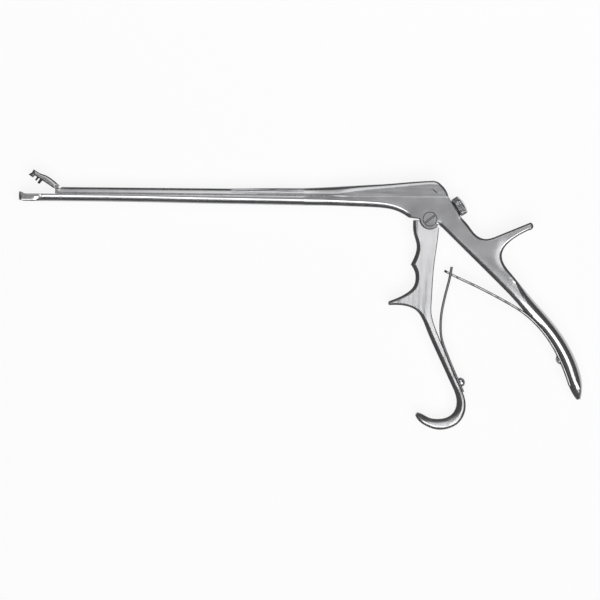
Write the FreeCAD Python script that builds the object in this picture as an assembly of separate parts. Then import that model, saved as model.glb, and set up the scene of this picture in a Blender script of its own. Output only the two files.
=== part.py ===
"""Biopsy punch forceps: a pistol-grip cutting punch with a sliding top bar and a hinged upper jaw.

Millimetres. The tool lies on its side. X runs back along the shaft, Y runs up from the trigger's
pivot and Z runs through the tool's thickness. The origin is on the resting side, on the pivot axis.
The jaw is drawn shut and the parts that move are then set to the open, resting position.
"""
import FreeCAD, Part
import math
import os

os.makedirs("parts", exist_ok=True)
V = FreeCAD.Vector
ACROSS = V(0, 0, 1)

# Handle plates
plate_thick = 12.0
trigger_thick = 9.8
rim_round = 1.0
under_round = 2.6
arc_fit = 0.15
spring_arc_fit = 0.03
joint_step = 0.06
tongue_thick = 4.0
tongue_gap = 0.15
boss_radius = 6.0
shoulder_gap = 0.25
back_face_lean = math.radians(32.3)
back_face_length = 14.2

# Shaft and slide
slide_plane = 13.2
slide_gap = 0.06
shaft_width = 6.4
shaft_tip = -246.6
shaft_joint = -75.0
shaft_depth_front = 4.4
shaft_depth_joint = 5.6
bar_round = 3.1
slide_height = 4.1
slide_overhang = 3.3
slide_travel = 2.8

# Jaws
jaw_open_angle = 33.4
jaw_pivot_setback = 25.3
jaw_pivot_drop = 2.1
jaw_pin_radius = 0.75
tang_thick = 2.6
tang_gap = 0.1
jaw_rest_gap = 0.1
cup_wall = 0.85
cup_floor = 0.95
cup_length = 11.6
bite_gap = 0.25
beak_gap = 0.4

# Screws and pins
pin_gap = 0.04
pivot_radius = 2.5
pivot_thread_radius = 2.0
pivot_head_radius = 4.3
pivot_head_height = 1.7
drive_x = 2.7
drive_rise = 3.6
drive_radius = 1.3
drive_head_radius = 2.0
drive_head_height = 1.1
slot_share = 0.25
thumb_stem_radius = 2.0
thumb_knob_length = 4.7
thumb_crown = 1.1
thumb_shift = 0.85
thumb_neck_length = 0.7
thumb_tip_gap = 0.5

# Leaf springs
spring_thick = 1.4
spring_width = 5.4
spring_slot_width = 2.2
spring_tongue_width = 1.5
spring_bead_radius = 0.8
spring_screw_head_radius = 2.8
front_screw_height = 3.0
rear_screw_height = 1.7
spring_screw_radius = 1.25
spring_screw_depth = 3.6
spring_seat_gap = 0.08

# Places that follow from the sizes above
mid = plate_thick / 2
half_shaft = shaft_width / 2
jaw_pivot_x = shaft_tip + jaw_pivot_setback
slide_front = jaw_pivot_x - slide_overhang
drive_y = slide_plane + drive_rise
trigger_lean = math.atan2(drive_x, drive_y)
jaw_pivot_y = slide_plane - jaw_pivot_drop
jaw_swing = math.radians(jaw_open_angle)
jaw_arm = slide_travel / (2 * math.sin(jaw_swing / 2))
jaw_drive_rise = jaw_arm * math.cos(jaw_swing / 2)
jaw_drive_x = jaw_pivot_x + slide_travel / 2
jaw_drive_y = jaw_pivot_y + jaw_drive_rise
back_normal = V(math.cos(back_face_lean), math.sin(back_face_lean), 0)
back_down = V(math.sin(back_face_lean), -math.cos(back_face_lean), 0)
back_top = V(11.1, slide_plane, 0)
back_low = back_top + back_down * back_face_length
thumb_base = back_top + back_down * (back_face_length / 2 + thumb_shift)
shoulder_radius = boss_radius + shoulder_gap
slot_width = tongue_thick + 2 * tongue_gap


def line(a, b):
    """A straight edge between two points."""
    return Part.LineSegment(a, b).toShape()


def arc(a, through, b):
    """A circular edge through three points."""
    return Part.Arc(a, through, b).toShape()


def curve(points, fit=arc_fit):
    """A smooth line through a few points, as a chain of arcs that flow into each other."""
    smooth = Part.BSplineCurve()
    smooth.interpolate(points)
    return [piece.toShape() for piece in smooth.toBiArcs(fit)]


def flat(points, z=0.0):
    """Plane points given as pairs, lifted to a height."""
    return [V(x, y, z) for x, y in points]


def on_circle(radius, degrees, z=0.0):
    """A point on a circle about the trigger's pivot."""
    turn = math.radians(degrees)
    return V(radius * math.cos(turn), radius * math.sin(turn), z)


def plate(edges, low, high):
    """A flat plate with the outline's edges, between two heights."""
    face = Part.Face(Part.Wire(Part.__sortEdges__(edges)))
    face.translate(ACROSS * low)
    return face.extrude(ACROSS * (high - low))


def outline(points):
    """Straight edges round a list of corners."""
    return [line(a, b) for a, b in zip(points, points[1:] + points[:1])]


def slab(points, half, centre=None):
    """A straight-sided plate about the middle of the tool's thickness."""
    centre = mid if centre is None else centre
    return plate(outline(flat(points)), centre - half, centre + half)


def box(x0, x1, y0, y1, z0, z1):
    """A box between two corners."""
    return Part.makeBox(x1 - x0, y1 - y0, z1 - z0, V(x0, y0, z0))


def rod(radius, low, high, x, y):
    """A round rod across the tool."""
    return Part.makeCylinder(radius, high - low, V(x, y, low), ACROSS)


def merged(first, *others):
    """One solid out of several that overlap."""
    return first.multiFuse(list(others)).removeSplitter()


def rims(solid, heights, wanted):
    """The outline edges of a plate's two faces that a test accepts."""
    found = []
    for edge in solid.Edges:
        points = [edge.valueAt(edge.FirstParameter + (edge.LastParameter - edge.FirstParameter) * t)
                  for t in (0.0, 0.5, 1.0)]
        level = any(all(abs(p.z - z) < 1e-4 for p in points) for z in heights)
        if level and wanted(points[1]):
            found.append(edge)
    return found


def bar_section(x, near, far, half_width, corner):
    """Half a bar's cross-section, flat on the near side and rounded on the far side."""
    way = 1.0 if far > near else -1.0
    left, right = mid - half_width, mid + half_width
    cut = corner * (1 - math.sqrt(0.5))
    a = V(x, near, left)
    b = V(x, far - way * corner, left)
    c = V(x, far - way * cut, left + cut)
    d = V(x, far, left + corner)
    e = V(x, far, right - corner)
    f = V(x, far - way * cut, right - cut)
    g = V(x, far - way * corner, right)
    h = V(x, near, right)
    edges = [line(a, b), arc(b, c, d), line(d, e), arc(e, f, g), line(g, h), line(h, a)]
    return Part.Wire(edges)


def oval_section(inner, outer, thick, inner_round, outer_round):
    """A grip's cross-section between two outline points, each side with its own rounding."""
    across = V(outer[0] - inner[0], outer[1] - inner[1], 0)
    width = across.Length
    across.normalize()
    start = V(inner[0], inner[1], mid)
    half = thick / 2

    def at(along, height):
        return start + across * along + ACROSS * height

    edges = []
    k = 1 - math.sqrt(0.5)
    i, o = inner_round, outer_round
    p = [at(0, half - i), at(i * k, half - i * k), at(i, half), at(width - o, half),
         at(width - o * k, half - o * k), at(width, half - o), at(width, o - half),
         at(width - o * k, o * k - half), at(width - o, -half), at(i, -half),
         at(i * k, i * k - half), at(0, i - half)]
    edges.append(arc(p[0], p[1], p[2]))
    edges.append(line(p[2], p[3]))
    edges.append(arc(p[3], p[4], p[5]))
    edges.append(line(p[5], p[6]))
    edges.append(arc(p[6], p[7], p[8]))
    edges.append(line(p[8], p[9]))
    edges.append(arc(p[9], p[10], p[11]))
    edges.append(line(p[11], p[0]))
    return Part.Wire(edges)


def turned(shape, degrees, x, y):
    """A copy turned about an axis across the tool."""
    copy = shape.copy()
    copy.rotate(V(x, y, 0), ACROSS, degrees)
    return copy


# Outline of the frame's head and thumb spur, clockwise from the seam
head_front = -46.0
grip_start_front = (42.0, -38.6)
grip_start_back = (49.6, -32.95)
under_points = [(head_front, 7.25), (-36.0, 7.0), (-27.0, 6.4), (-21.0, 5.2), (-16.5, 3.3), (-12.6, 0.8)]
nape_points = [(22.5, -2.9), (28.2, -9.6), (33.2, -11.6), (38.8, -10.4)]
spur_top_end = (60.2, -1.5)
spur_tip = (61.9, -3.5)
spur_under = [(59.4, -6.0), (54.4, -8.6), (49.0, -12.2), (44.9, -16.5), (43.3, -20.6), (43.7, -24.3),
              (45.6, -28.0), grip_start_back]

def drawn_in(a, b, step):
    """Two outline points, each moved a little towards the other."""
    length = math.hypot(b[0] - a[0], b[1] - a[1])
    x, y = (b[0] - a[0]) * step / length, (b[1] - a[1]) * step / length
    return (a[0] + x, a[1] + y), (b[0] - x, b[1] - y)


# Rear grip: outline points in pairs, front edge and back edge, with the rounding of each
grip_stations = [
    (*drawn_in(grip_start_front, grip_start_back, joint_step), rim_round, rim_round),
    ((46.4, -43.1), (53.6, -37.6), 1.2, 2.2),
    ((51.1, -47.9), (57.6, -42.3), 1.3, 3.4),
    ((60.5, -58.8), (67.4, -53.3), 1.5, 3.7),
    ((69.3, -69.2), (76.0, -63.3), 1.6, 3.8),
    ((76.2, -79.4), (83.6, -74.3), 1.8, 3.8),
    ((80.7, -88.9), (89.0, -85.2), 2.0, 3.8),
    ((84.2, -98.4), (92.1, -96.6), 2.2, 3.4),
    ((87.0, -104.3), (91.9, -104.0), 1.4, 1.8),
    ((89.0, -107.3), (91.2, -107.3), 0.7, 0.8),
]
butt_thick = 9.0

# Leaf spring centre lines, from the root to the tip
rear_spring_line = [(85.0, -98.8), (81.1, -88.2), (78.9, -83.4), (76.6, -78.7), (67.5, -65.5), (61.3, -59.2),
                    (55.2, -54.4), (49.1, -50.7), (37.0, -44.2), (24.9, -38.3), (15.9, -34.2), (9.2, -30.8)]
front_spring_line = [(21.0, -103.4), (20.0, -101.1), (18.55, -98.0), (14.7, -89.4), (10.2, -78.6), (7.8, -71.3),
                     (7.15, -63.9), (7.6, -56.6), (8.9, -49.3), (10.6, -42.1), (12.4, -34.9), (13.5, -28.4)]
spring_cross = (12.8, -32.7)
rear_bed_points = 8
front_bed_points = 7


def band(points, near, far, low, high, used=None):
    """A plate that follows a smooth line, or its first points, between two distances to its left."""
    used = len(points) if used is None else used
    centre = Part.BSplineCurve()
    centre.interpolate(flat(points))
    first = centre.FirstParameter
    last = centre.parameter(flat(points)[used - 1])
    count = used * 2 - 2
    sides = []
    for away in (near, far):
        side = []
        for step in range(count + 1):
            t = first + (last - first) * step / count
            along = centre.tangent(t)[0]
            side.append(centre.value(t) + V(-along.y, along.x, 0) * away)
        sides.append(side)
    a, b = sides
    fit = spring_arc_fit
    return plate([*curve(a, fit), line(a[-1], b[-1]), *curve(b, fit), line(b[0], a[0])], low, high)


def screw_place(points, way):
    """Where the screw sits on a spring's line, the third point of it, and where its head faces."""
    x0, y0 = points[1]
    x1, y1 = points[3]
    out = V(y0 - y1, x1 - x0, 0) * way
    out.normalize()
    return V(points[2][0], points[2][1], mid), out


def head_plate():
    """The frame's head with the nape and the thumb spur, as one rounded plate."""
    under = flat(under_points)
    boss_start = on_circle(boss_radius, 179.0)
    boss_end = on_circle(boss_radius, -28.0)
    seam_front = V(head_front, slide_plane, 0)
    nape = [back_low] + flat(nape_points)
    spur_end = V(spur_top_end[0], spur_top_end[1], 0)
    grip_front = V(grip_start_front[0], grip_start_front[1], 0)
    grip_back = V(grip_start_back[0], grip_start_back[1], 0)
    spur = flat(spur_under)
    edges = [
        line(seam_front, back_top),
        line(back_top, back_low),
        *curve(nape),
        line(nape[-1], spur_end),
        arc(spur_end, V(spur_tip[0], spur_tip[1], 0), spur[0]),
        *curve(spur),
        line(grip_back, grip_front),
        line(grip_front, boss_end),
        arc(boss_end, on_circle(boss_radius, -104.0), boss_start),
        line(boss_start, under[-1]),
        *curve(under),
        line(under[0], seam_front),
    ]
    solid = plate(edges, 0.0, plate_thick)

    def below(p):
        return p.x < under[-1].x and p.x > head_front + 0.1 and p.y < slide_plane - 1

    def around(p):
        on_seam = abs(p.y - slide_plane) < 1e-3
        on_front = p.x < under[-1].x
        on_grip = (V(p.x, p.y, 0) - (grip_back + grip_front) * 0.5).Length < 0.1
        on_boss = math.hypot(p.x, p.y) < boss_radius + 0.5
        return not (on_seam or on_front or on_grip or on_boss)

    heights = (0.0, plate_thick)
    solid = solid.makeFillet(under_round, rims(solid, heights, below))
    return solid.makeFillet(rim_round, rims(solid, heights, around))


def half_width(x):
    """Half the width of the bars, which swell smoothly from the shaft to the head."""
    share = min(max((x - shaft_joint) / (head_front - shaft_joint), 0.0), 1.0)
    return half_shaft + (mid - half_shaft) * share * share * (3 - 2 * share)


def nose():
    """The frame's nose, which narrows from the head's full thickness to the shaft's width."""
    head_depth = slide_plane - under_points[0][1]
    wires = []
    steps = 7
    for step in range(steps + 1):
        share = step / steps
        x = shaft_joint + (head_front + 0.2 - shaft_joint) * share
        depth = shaft_depth_joint + (head_depth - shaft_depth_joint) * share * share
        corner = bar_round + (under_round - bar_round) * share
        wires.append(bar_section(x, slide_plane, slide_plane - depth, half_width(x), corner))
    return Part.makeLoft(wires, True, True)


def blended(stations, count, thick_start, thick_end):
    """A smooth body through cross-sections, with more of them worked out in between."""
    numbers = list(range(len(stations)))
    sides = []
    for place, rounding in ((0, 2), (1, 3)):
        smooth = Part.BSplineCurve()
        points = [V(row[place][0], row[place][1], row[rounding]) for row in stations]
        smooth.interpolate(Points=points, Parameters=numbers)
        sides.append(smooth)
    wires = []
    for step in range(count + 1):
        t = numbers[-1] * step / count
        inner, outer = (side.value(t) for side in sides)
        thick = thick_start + (thick_end - thick_start) * step / count
        wires.append(oval_section((inner.x, inner.y), (outer.x, outer.y), thick, inner.z, outer.z))
    return Part.makeLoft(wires, True, True)


def handle_frame():
    """Head, spur, rear grip and nose in one piece, with its slot, bores and spring seat."""
    grip = blended(grip_stations, 10, plate_thick - 2 * joint_step, butt_thick)
    body = merged(head_plate(), grip, nose())
    reach = boss_radius + 1.1
    slot = box(-reach, reach, -boss_radius - 4, slide_plane + 1, mid - slot_width / 2, mid + slot_width / 2)
    body = body.cut(slot)
    body = body.cut(rod(pivot_radius + pin_gap, mid, plate_thick + 1, 0, 0))
    body = body.cut(rod(pivot_thread_radius, -1, mid, 0, 0))
    head_floor = plate_thick - pivot_head_height
    body = body.cut(rod(pivot_head_radius + pin_gap, head_floor, plate_thick + 1, 0, 0))
    stem = Part.makeCylinder(thumb_stem_radius + pin_gap, 30, thumb_base + ACROSS * mid + back_normal * 5,
                             back_normal * -1)
    body = body.cut(stem)
    seat = spring_thick / 2 + spring_seat_gap
    body = body.cut(band(rear_spring_line, -seat, 4.0, -1, plate_thick + 1, rear_bed_points))
    body = body.cut(spring_screw_hole(rear_spring_line, 1))
    return body.removeSplitter()


def lower_shaft():
    """The fixed lower bar, which ends in the cutting cup."""
    flat_side = 0.9
    round_side = bar_round
    stations = [
        (shaft_tip, shaft_depth_front, flat_side),
        (shaft_tip + 8.0, shaft_depth_front, flat_side),
        (shaft_tip + 14.0, shaft_depth_front, round_side),
        (shaft_tip + 46.6, shaft_depth_front, round_side),
        (shaft_joint, shaft_depth_joint, round_side),
    ]
    wires = [bar_section(x, slide_plane, slide_plane - d, half_shaft, r) for x, d, r in stations]
    body = merged(Part.makeLoft(wires, True, True), cup_lip())
    nose_cut = slab([(shaft_tip - 1, slide_plane - 3.5), (shaft_tip - 1, slide_plane - 6),
                     (shaft_tip + 3.2, slide_plane - 6), (shaft_tip + 3.2, slide_plane - shaft_depth_front),
                     (shaft_tip, slide_plane - 3.7)], half_shaft + 1)
    body = body.cut(nose_cut)
    body = body.cut(rounded_nose_waste())
    body = body.cut(cup_hollow())
    tang_slot = (tang_thick / 2 + tang_gap)
    body = body.cut(box(jaw_pivot_x - 1.75, jaw_pivot_x + 3.6, jaw_pivot_y - 1.6, slide_plane + 1,
                        mid - tang_slot, mid + tang_slot))
    body = body.cut(rod(jaw_pin_radius, 0, plate_thick, jaw_pivot_x, jaw_pivot_y))
    for x in guide_places:
        body = body.cut(guide_groove(x))
    return body.removeSplitter()


def cup_lip():
    """The raised front edge of the cup."""
    top = slide_plane + 1.3
    points = [(shaft_tip, slide_plane - 1), (shaft_tip + 0.3, slide_plane + 0.9), (shaft_tip + 1.0, top),
              (shaft_tip + 3.3, slide_plane + 0.15), (shaft_tip + 3.6, slide_plane - 1)]
    return slab(points, half_shaft)


def rounded_nose_waste():
    """What is cut off to round the cup's front corners, seen from above."""
    corner = 2.1
    blank = box(shaft_tip - 1, shaft_tip + corner, slide_plane - 8, slide_plane + 4,
                mid - half_shaft - 1, mid + half_shaft + 1)
    keep = box(shaft_tip, shaft_tip + 12, slide_plane - 9, slide_plane + 5, mid - half_shaft, mid + half_shaft)
    sharp = [e for e in keep.Edges if abs(e.CenterOfMass.x - shaft_tip) < 1e-6
             and abs(e.CenterOfMass.y - (slide_plane - 2)) < 1e-6]
    return blank.cut(keep.makeFillet(corner, sharp))


def cup_hollow():
    """The hollow of the cup, with a rounded floor and front."""
    half = half_shaft - cup_wall
    floor = slide_plane - shaft_depth_front + cup_floor
    front = shaft_tip + cup_wall + 0.35
    body = box(front, front + cup_length, floor, slide_plane + 3, mid - half, mid + half)
    low = [e for e in body.Edges if abs(e.CenterOfMass.y - floor) < 1e-6 and abs(e.CenterOfMass.z - mid) > 1e-3]
    upright = [e for e in body.Edges if abs(e.CenterOfMass.x - front) < 1e-6 and abs(e.CenterOfMass.z - mid) > 1e-3
               and abs(e.CenterOfMass.y - floor) > 1e-3]
    return body.makeFillet(1.1, low + upright)


# Guide studs: where they stand on the slide, and their size
guide_places = (-205.0, -95.0)
guide_neck_radius = 0.9
guide_head_radius = 1.6
guide_head_height = 0.9
guide_neck_height = 1.2
guide_gap = 0.1


def guide_groove(x):
    """The undercut groove that holds one guide stud, with the wide mouth where the stud goes in."""
    neck = guide_neck_radius + guide_gap
    head = guide_head_radius + guide_gap
    top = slide_plane + 1
    roof = slide_plane - guide_neck_height + guide_gap
    floor = slide_plane - guide_neck_height - guide_head_height - guide_gap
    front = x - slide_travel - head - 0.3
    back = x + head + 0.3
    mouth_back = back + 2 * head + 0.6
    narrow = box(front, back, floor, top, mid - neck, mid + neck)
    wide = box(front, back, floor, roof, mid - head, mid + head)
    mouth = box(back, mouth_back, floor, top, mid - head, mid + head)
    return merged(narrow, wide, mouth)


def guide_studs():
    """The headed studs under the slide that hold it down on the shaft."""
    studs = []
    lift = slide_gap + 1.4
    for x in guide_places:
        low = slide_plane - guide_neck_height
        neck = Part.makeCylinder(guide_neck_radius, guide_neck_height + lift, V(x, low, mid), V(0, 1, 0))
        head = Part.makeCylinder(guide_head_radius, guide_head_height, V(x, low - guide_head_height, mid), V(0, 1, 0))
        studs.append(merged(neck, head))
    return Part.makeCompound(studs)


# Slide wedge outline over the frame's head
wedge_stations = [
    (slide_front, slide_height, bar_round),
    (-120.0, slide_height, bar_round),
    (shaft_joint, 4.75, bar_round),
    (-69.0, 5.05, 3.3),
    (-63.0, 5.35, 3.9),
    (-57.0, 5.7, 4.3),
    (-51.0, 6.05, 3.9),
    (head_front, 6.35, 3.4),
    (-38.0, 6.85, 2.8),
    (-28.0, 7.45, 2.4),
    (-6.0, 9.35, 2.0),
    (12.0, 10.4, 1.8),
]


def slide_bar():
    """The sliding top bar, which swells into the wedge over the frame's head."""
    near = slide_plane + slide_gap
    wires = [bar_section(x, near, slide_plane + h, half_width(x), r) for x, h, r in wedge_stations]
    body = Part.makeLoft(wires, True, True)
    body = body.common(wedge_silhouette(near))
    ramp = slab([(slide_front - 1, slide_plane + 3.05), (slide_front + 2.3, slide_plane + 3.2),
                 (slide_front + 4.0, slide_plane + slide_height), (slide_front + 4.0, slide_plane + 8),
                 (slide_front - 1, slide_plane + 8)], mid)
    body = body.cut(ramp)
    tang_slot = tang_thick / 2 + tang_gap
    body = body.cut(box(slide_front - 1, jaw_drive_x + 2.6, slide_plane - 1, slide_plane + 8,
                        mid - tang_slot, mid + tang_slot))
    body = body.cut(rod(jaw_pin_radius, 0, plate_thick, jaw_drive_x, jaw_drive_y))
    pocket = slab([(-2.6, slide_plane - 1), (-2.6, slide_plane + 6.5), (4.4, slide_plane + 6.5),
                   (6.5, slide_plane + 5.2), (7.4, slide_plane - 1)], slot_width / 2)
    body = body.cut(pocket)
    body = body.cut(rod(drive_radius, 1.2, plate_thick + 1, drive_x, drive_y))
    body = body.cut(rod(drive_head_radius + pin_gap, plate_thick - drive_head_height, plate_thick + 1,
                        drive_x, drive_y))
    for x in guide_places:
        body = body.cut(Part.makeCylinder(guide_neck_radius, 1.4 + slide_gap, V(x, slide_plane, mid), V(0, 1, 0)))
    return body.removeSplitter()


def wedge_silhouette(near):
    """The slide's side view: its top line and the slanted, rounded back."""
    back = V(back_top.x - 0.1, near, 0)
    waist = V(6.7, slide_plane + 7.35, 0)
    crest = V(1.2, slide_plane + 9.75, 0)
    far_top = slide_plane + 12
    edges = [
        line(V(slide_front, near, 0), back),
        arc(back, V(9.9, slide_plane + 3.3, 0), waist),
        arc(waist, V(4.3, slide_plane + 9.15, 0), crest),
        line(crest, V(crest.x, far_top, 0)),
        line(V(crest.x, far_top, 0), V(slide_front, far_top, 0)),
        line(V(slide_front, far_top, 0), V(slide_front, near, 0)),
    ]
    return plate(edges, -1, plate_thick + 1)


def upper_jaw_shut():
    """The hinged punch jaw, drawn shut over the cup."""
    under = slide_plane + jaw_rest_gap
    arm_back = slide_front - slide_travel - 0.15
    inner = half_shaft - cup_wall - bite_gap
    tip = shaft_tip + cup_wall + 0.35 + beak_gap
    front = shaft_tip + 4.0
    top = [(arm_back, slide_plane + 3.6), (front + 10.3, slide_plane + 4.0), (front + 6.6, slide_plane + 3.8),
           (front + 3.0, slide_plane + 2.9), (front, slide_plane + 2.8)]
    points = flat(top)
    edges = [
        *curve(points),
        line(points[-1], V(front, under, 0)),
        line(V(front, under, 0), V(arm_back, under, 0)),
        line(V(arm_back, under, 0), points[0]),
    ]
    arm = plate(edges, mid - 3.0, mid + 3.0)
    crown = Part.Face(bar_section(shaft_tip, slide_plane - 1, slide_plane + slide_height, 3.0, 2.7))
    crown = crown.extrude(V(slide_front - shaft_tip, 0, 0))
    arm = arm.common(crown)
    head = slab([(tip + 0.9, slide_plane + 2.7), (tip + 1.0, slide_plane + 0.6), (tip, slide_plane - 1.5),
                 (tip + 3.0, slide_plane - 1.6), (tip + 3.5, under + 0.1), (tip + 4.2, under + 0.1),
                 (tip + 4.2, slide_plane + 2.9)], inner)
    reach = jaw_pin_radius + 0.65
    shut_x = jaw_drive_x - slide_travel
    lug = jaw_pin_radius + 0.45
    tang = slab([(arm_back - 3.0, under), (jaw_pivot_x - reach, under), (jaw_pivot_x - reach, jaw_pivot_y),
                 (jaw_pivot_x + reach, jaw_pivot_y), (shut_x + lug, jaw_drive_y), (shut_x, jaw_drive_y + lug),
                 (jaw_pivot_x - 3.4, slide_plane + 1.75), (jaw_pivot_x - 4.6, slide_plane + 2.1),
                 (jaw_pivot_x - 4.8, slide_plane + 3.6),
                 (arm_back - 3.0, slide_plane + 3.7)], tang_thick / 2)
    half = tang_thick / 2
    eye = rod(reach, mid - half, mid + half, jaw_pivot_x, jaw_pivot_y)
    nose_eye = rod(lug, mid - half, mid + half, shut_x, jaw_drive_y)
    body = merged(arm, head, tang, eye, nose_eye, *jaw_prongs(inner, under))
    window = box(front + 0.3, front + 2.7, slide_plane - 4, slide_plane + 6, mid - 1.2, mid + 1.2)
    body = body.cut(window)
    body = body.cut(rod(jaw_pin_radius + pin_gap, 0, plate_thick, jaw_pivot_x, jaw_pivot_y))
    return body.cut(drive_slot()).removeSplitter()


def jaw_prongs(inner, under):
    """The two toothed rows that hold the sample, pointing down into the cup."""
    prongs = []
    for x, width, drop in ((shaft_tip + 7.2, 1.1, 2.2), (shaft_tip + 9.6, 1.6, 2.8)):
        prongs.append(slab([(x - width / 2, under + 0.5), (x - width / 2, under - drop),
                            (x + width / 4, under - drop), (x + width / 2, under + 0.5)], inner))
    return prongs


def drive_slot():
    """The short slot along the jaw's lever in which the slide's pin works."""
    shut_lean = math.degrees(jaw_swing / 2)
    radius = jaw_pin_radius + pin_gap
    slack = 0.16
    ends = [rod(radius, 0, plate_thick, jaw_pivot_x, jaw_pivot_y + rise)
            for rise in (jaw_drive_rise - slack, jaw_arm + slack)]
    middle = box(jaw_pivot_x - radius, jaw_pivot_x + radius, jaw_pivot_y + jaw_drive_rise - slack,
                 jaw_pivot_y + jaw_arm + slack, 0, plate_thick)
    return turned(merged(middle, *ends), shut_lean, jaw_pivot_x, jaw_pivot_y)


def cross_pin(x, y, half_length):
    """A plain pin across the shaft."""
    return rod(jaw_pin_radius, mid - half_length, mid + half_length, x, y)


# Trigger outline, from the top corner down the finger side
trigger_top = (-9.9, -0.7)
first_scallop = [trigger_top, (-9.9, -6.0), (-8.9, -10.9), (-7.7, -15.6), (-8.4, -21.0), (-11.1, -27.2)]
second_scallop = [(-11.1, -27.2), (-8.8, -31.3), (-8.2, -35.8), (-9.4, -40.4), (-13.2, -44.2), (-24.1, -49.4)]
finger_tip = (-24.4, -50.5)
finger_under = [(-23.9, -51.7), (-17.9, -51.6), (-12.0, -52.6), (-7.6, -54.8), (-4.6, -58.6)]
bar_start_back = (1.4, -55.6)
trigger_back = [bar_start_back, (1.5, -49.6), (2.5, -31.6), (4.2, -17.2), (5.1, -10.0), (5.5, -5.2)]

# Trigger bar and hook: outline points in pairs, finger side and back side, and the finger side's rounding
bar_stations = [
    ((-4.6, -58.6), (1.4, -55.6), 1.0, 1.0),
    ((-1.0, -66.8), (3.7, -64.6), 1.7, 1.2),
    ((4.0, -78.0), (8.6, -76.3), 2.0, 1.4),
    ((9.4, -89.4), (13.4, -87.9), 2.0, 1.4),
    ((13.7, -98.6), (17.7, -97.6), 2.0, 1.4),
    ((16.6, -105.6), (21.3, -105.0), 2.1, 1.9),
    ((17.0, -111.6), (22.5, -112.7), 2.2, 2.2),
    ((14.7, -116.4), (19.3, -120.9), 2.2, 2.3),
    ((10.2, -119.1), (12.6, -125.2), 2.2, 2.4),
    ((5.4, -119.7), (5.6, -126.0), 2.2, 2.3),
    ((0.9, -119.0), (-1.2, -123.8), 2.0, 2.0),
    ((-3.4, -116.8), (-6.0, -120.2), 1.7, 1.7),
    ((-5.8, -115.9), (-7.3, -117.6), 0.9, 0.9),
]
hook_thick = 7.6


def trigger_plate():
    """The scalloped upper part with its finger spur."""
    shoulder_start = V(-math.sqrt(shoulder_radius ** 2 - trigger_top[1] ** 2), trigger_top[1], 0)
    shoulder_end = on_circle(shoulder_radius, -47.0)
    back = flat(trigger_back)
    tip = V(finger_tip[0], finger_tip[1], 0)
    finger = flat(finger_under)
    second = flat(second_scallop)
    first = flat(first_scallop)
    edges = [
        arc(shoulder_start, on_circle(shoulder_radius, -110.0), shoulder_end),
        line(shoulder_end, back[-1]),
        *curve(back),
        line(back[0], finger[-1]),
        *curve(finger),
        arc(finger[0], tip, second[-1]),
        *curve(second),
        *curve(first),
        line(first[0], shoulder_start),
    ]
    half = trigger_thick / 2
    body = plate(edges, mid - half, mid + half)
    bar_line = (back[0] + finger[-1]) * 0.5

    def wanted(p):
        on_shoulder = math.hypot(p.x, p.y) < shoulder_radius + 1.2
        on_top = abs(p.y - trigger_top[1]) < 1e-3
        on_bar = (V(p.x, p.y, 0) - bar_line).Length < 0.1
        return not (on_shoulder or on_top or on_bar)

    return body.makeFillet(rim_round, rims(body, (mid - half, mid + half), wanted))


def trigger():
    """Finger lever: plate, bar and hook, with the tongue and fork that drive the slide."""
    bar = blended(bar_stations, 18, trigger_thick, hook_thick)
    body = merged(trigger_plate(), bar, tongue())
    body = body.cut(rod(pivot_radius + pin_gap, -1, plate_thick + 1, 0, 0))
    body = body.cut(fork_slot())
    seat = spring_thick / 2 + spring_seat_gap
    body = body.cut(band(front_spring_line, -4.0, seat, -1, plate_thick + 1, front_bed_points))
    body = body.cut(spring_screw_hole(front_spring_line, -1))
    return body.removeSplitter()


fork_top = 19.0
fork_half = 2.9


def tongue():
    """The thin hub and upper arm that work inside the frame's slot."""
    half = tongue_thick / 2
    hub = rod(boss_radius, mid - half, mid + half, 0, 0)
    neck = slab([(-8.0, -2.0), (-boss_radius + 0.4, 0.0), (4.0, 0.0), (4.4, -9.0), (-8.0, -9.0)], half)
    arm = slab([(-fork_half - 0.6, 0), (fork_half + 0.6, 0), (fork_half, fork_top), (-fork_half, fork_top)], half)
    tips = [e for e in arm.Edges if abs(e.CenterOfMass.y - fork_top) < 1e-6 and abs(e.CenterOfMass.z - mid) < 1e-6]
    arm = arm.makeFillet(1.2, tips)
    arm = turned(arm, -math.degrees(trigger_lean), 0, 0)
    flat_waste = thumb_flat()
    return merged(hub, neck, arm).cut(flat_waste)


def thumb_flat():
    """The flat on the hub's back that meets the thumb screw's tip when the trigger is squeezed."""
    depth = boss_radius - 0.75
    waste = Part.makeBox(6, 14, 40, V(depth, -10.5, -10))
    waste = waste.common(box(depth, depth + 6, -10.5, 3.2, -10, 30))
    turn = math.degrees(back_face_lean) - trigger_swing
    return turned(waste, turn, 0, 0)


trigger_swing = math.degrees(trigger_lean + math.atan((slide_travel - drive_x) / drive_y))


def fork_slot():
    """The open slot at the arm's end for the drive screw."""
    half = drive_radius + pin_gap + 0.02
    bottom = drive_y - 0.35
    slot = box(-half, half, bottom, fork_top + 3, 0, plate_thick)
    slot = merged(slot, rod(half, 0, plate_thick, 0, bottom))
    return turned(slot, -math.degrees(trigger_lean), 0, 0)


def slotted_head(radius, low, height, x, y, slot_turn, crown=0.0):
    """A round screw head with a driver slot, flat or domed on top."""
    head = rod(radius, low, low + height - crown, x, y)
    if crown:
        ball = (radius ** 2 + crown ** 2) / (2 * crown)
        dome = Part.makeSphere(ball, V(x, y, low + height - ball))
        head = merged(head, dome.common(rod(radius, low + height - crown, low + height + 1, x, y)))
    width = 2 * radius * slot_share / 2
    depth = height * 0.45
    top = low + height
    slot = box(x - radius - 1, x + radius + 1, y - width / 2, y + width / 2, top - depth, top + 1)
    return head.cut(turned(slot, slot_turn, x, y))


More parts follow.
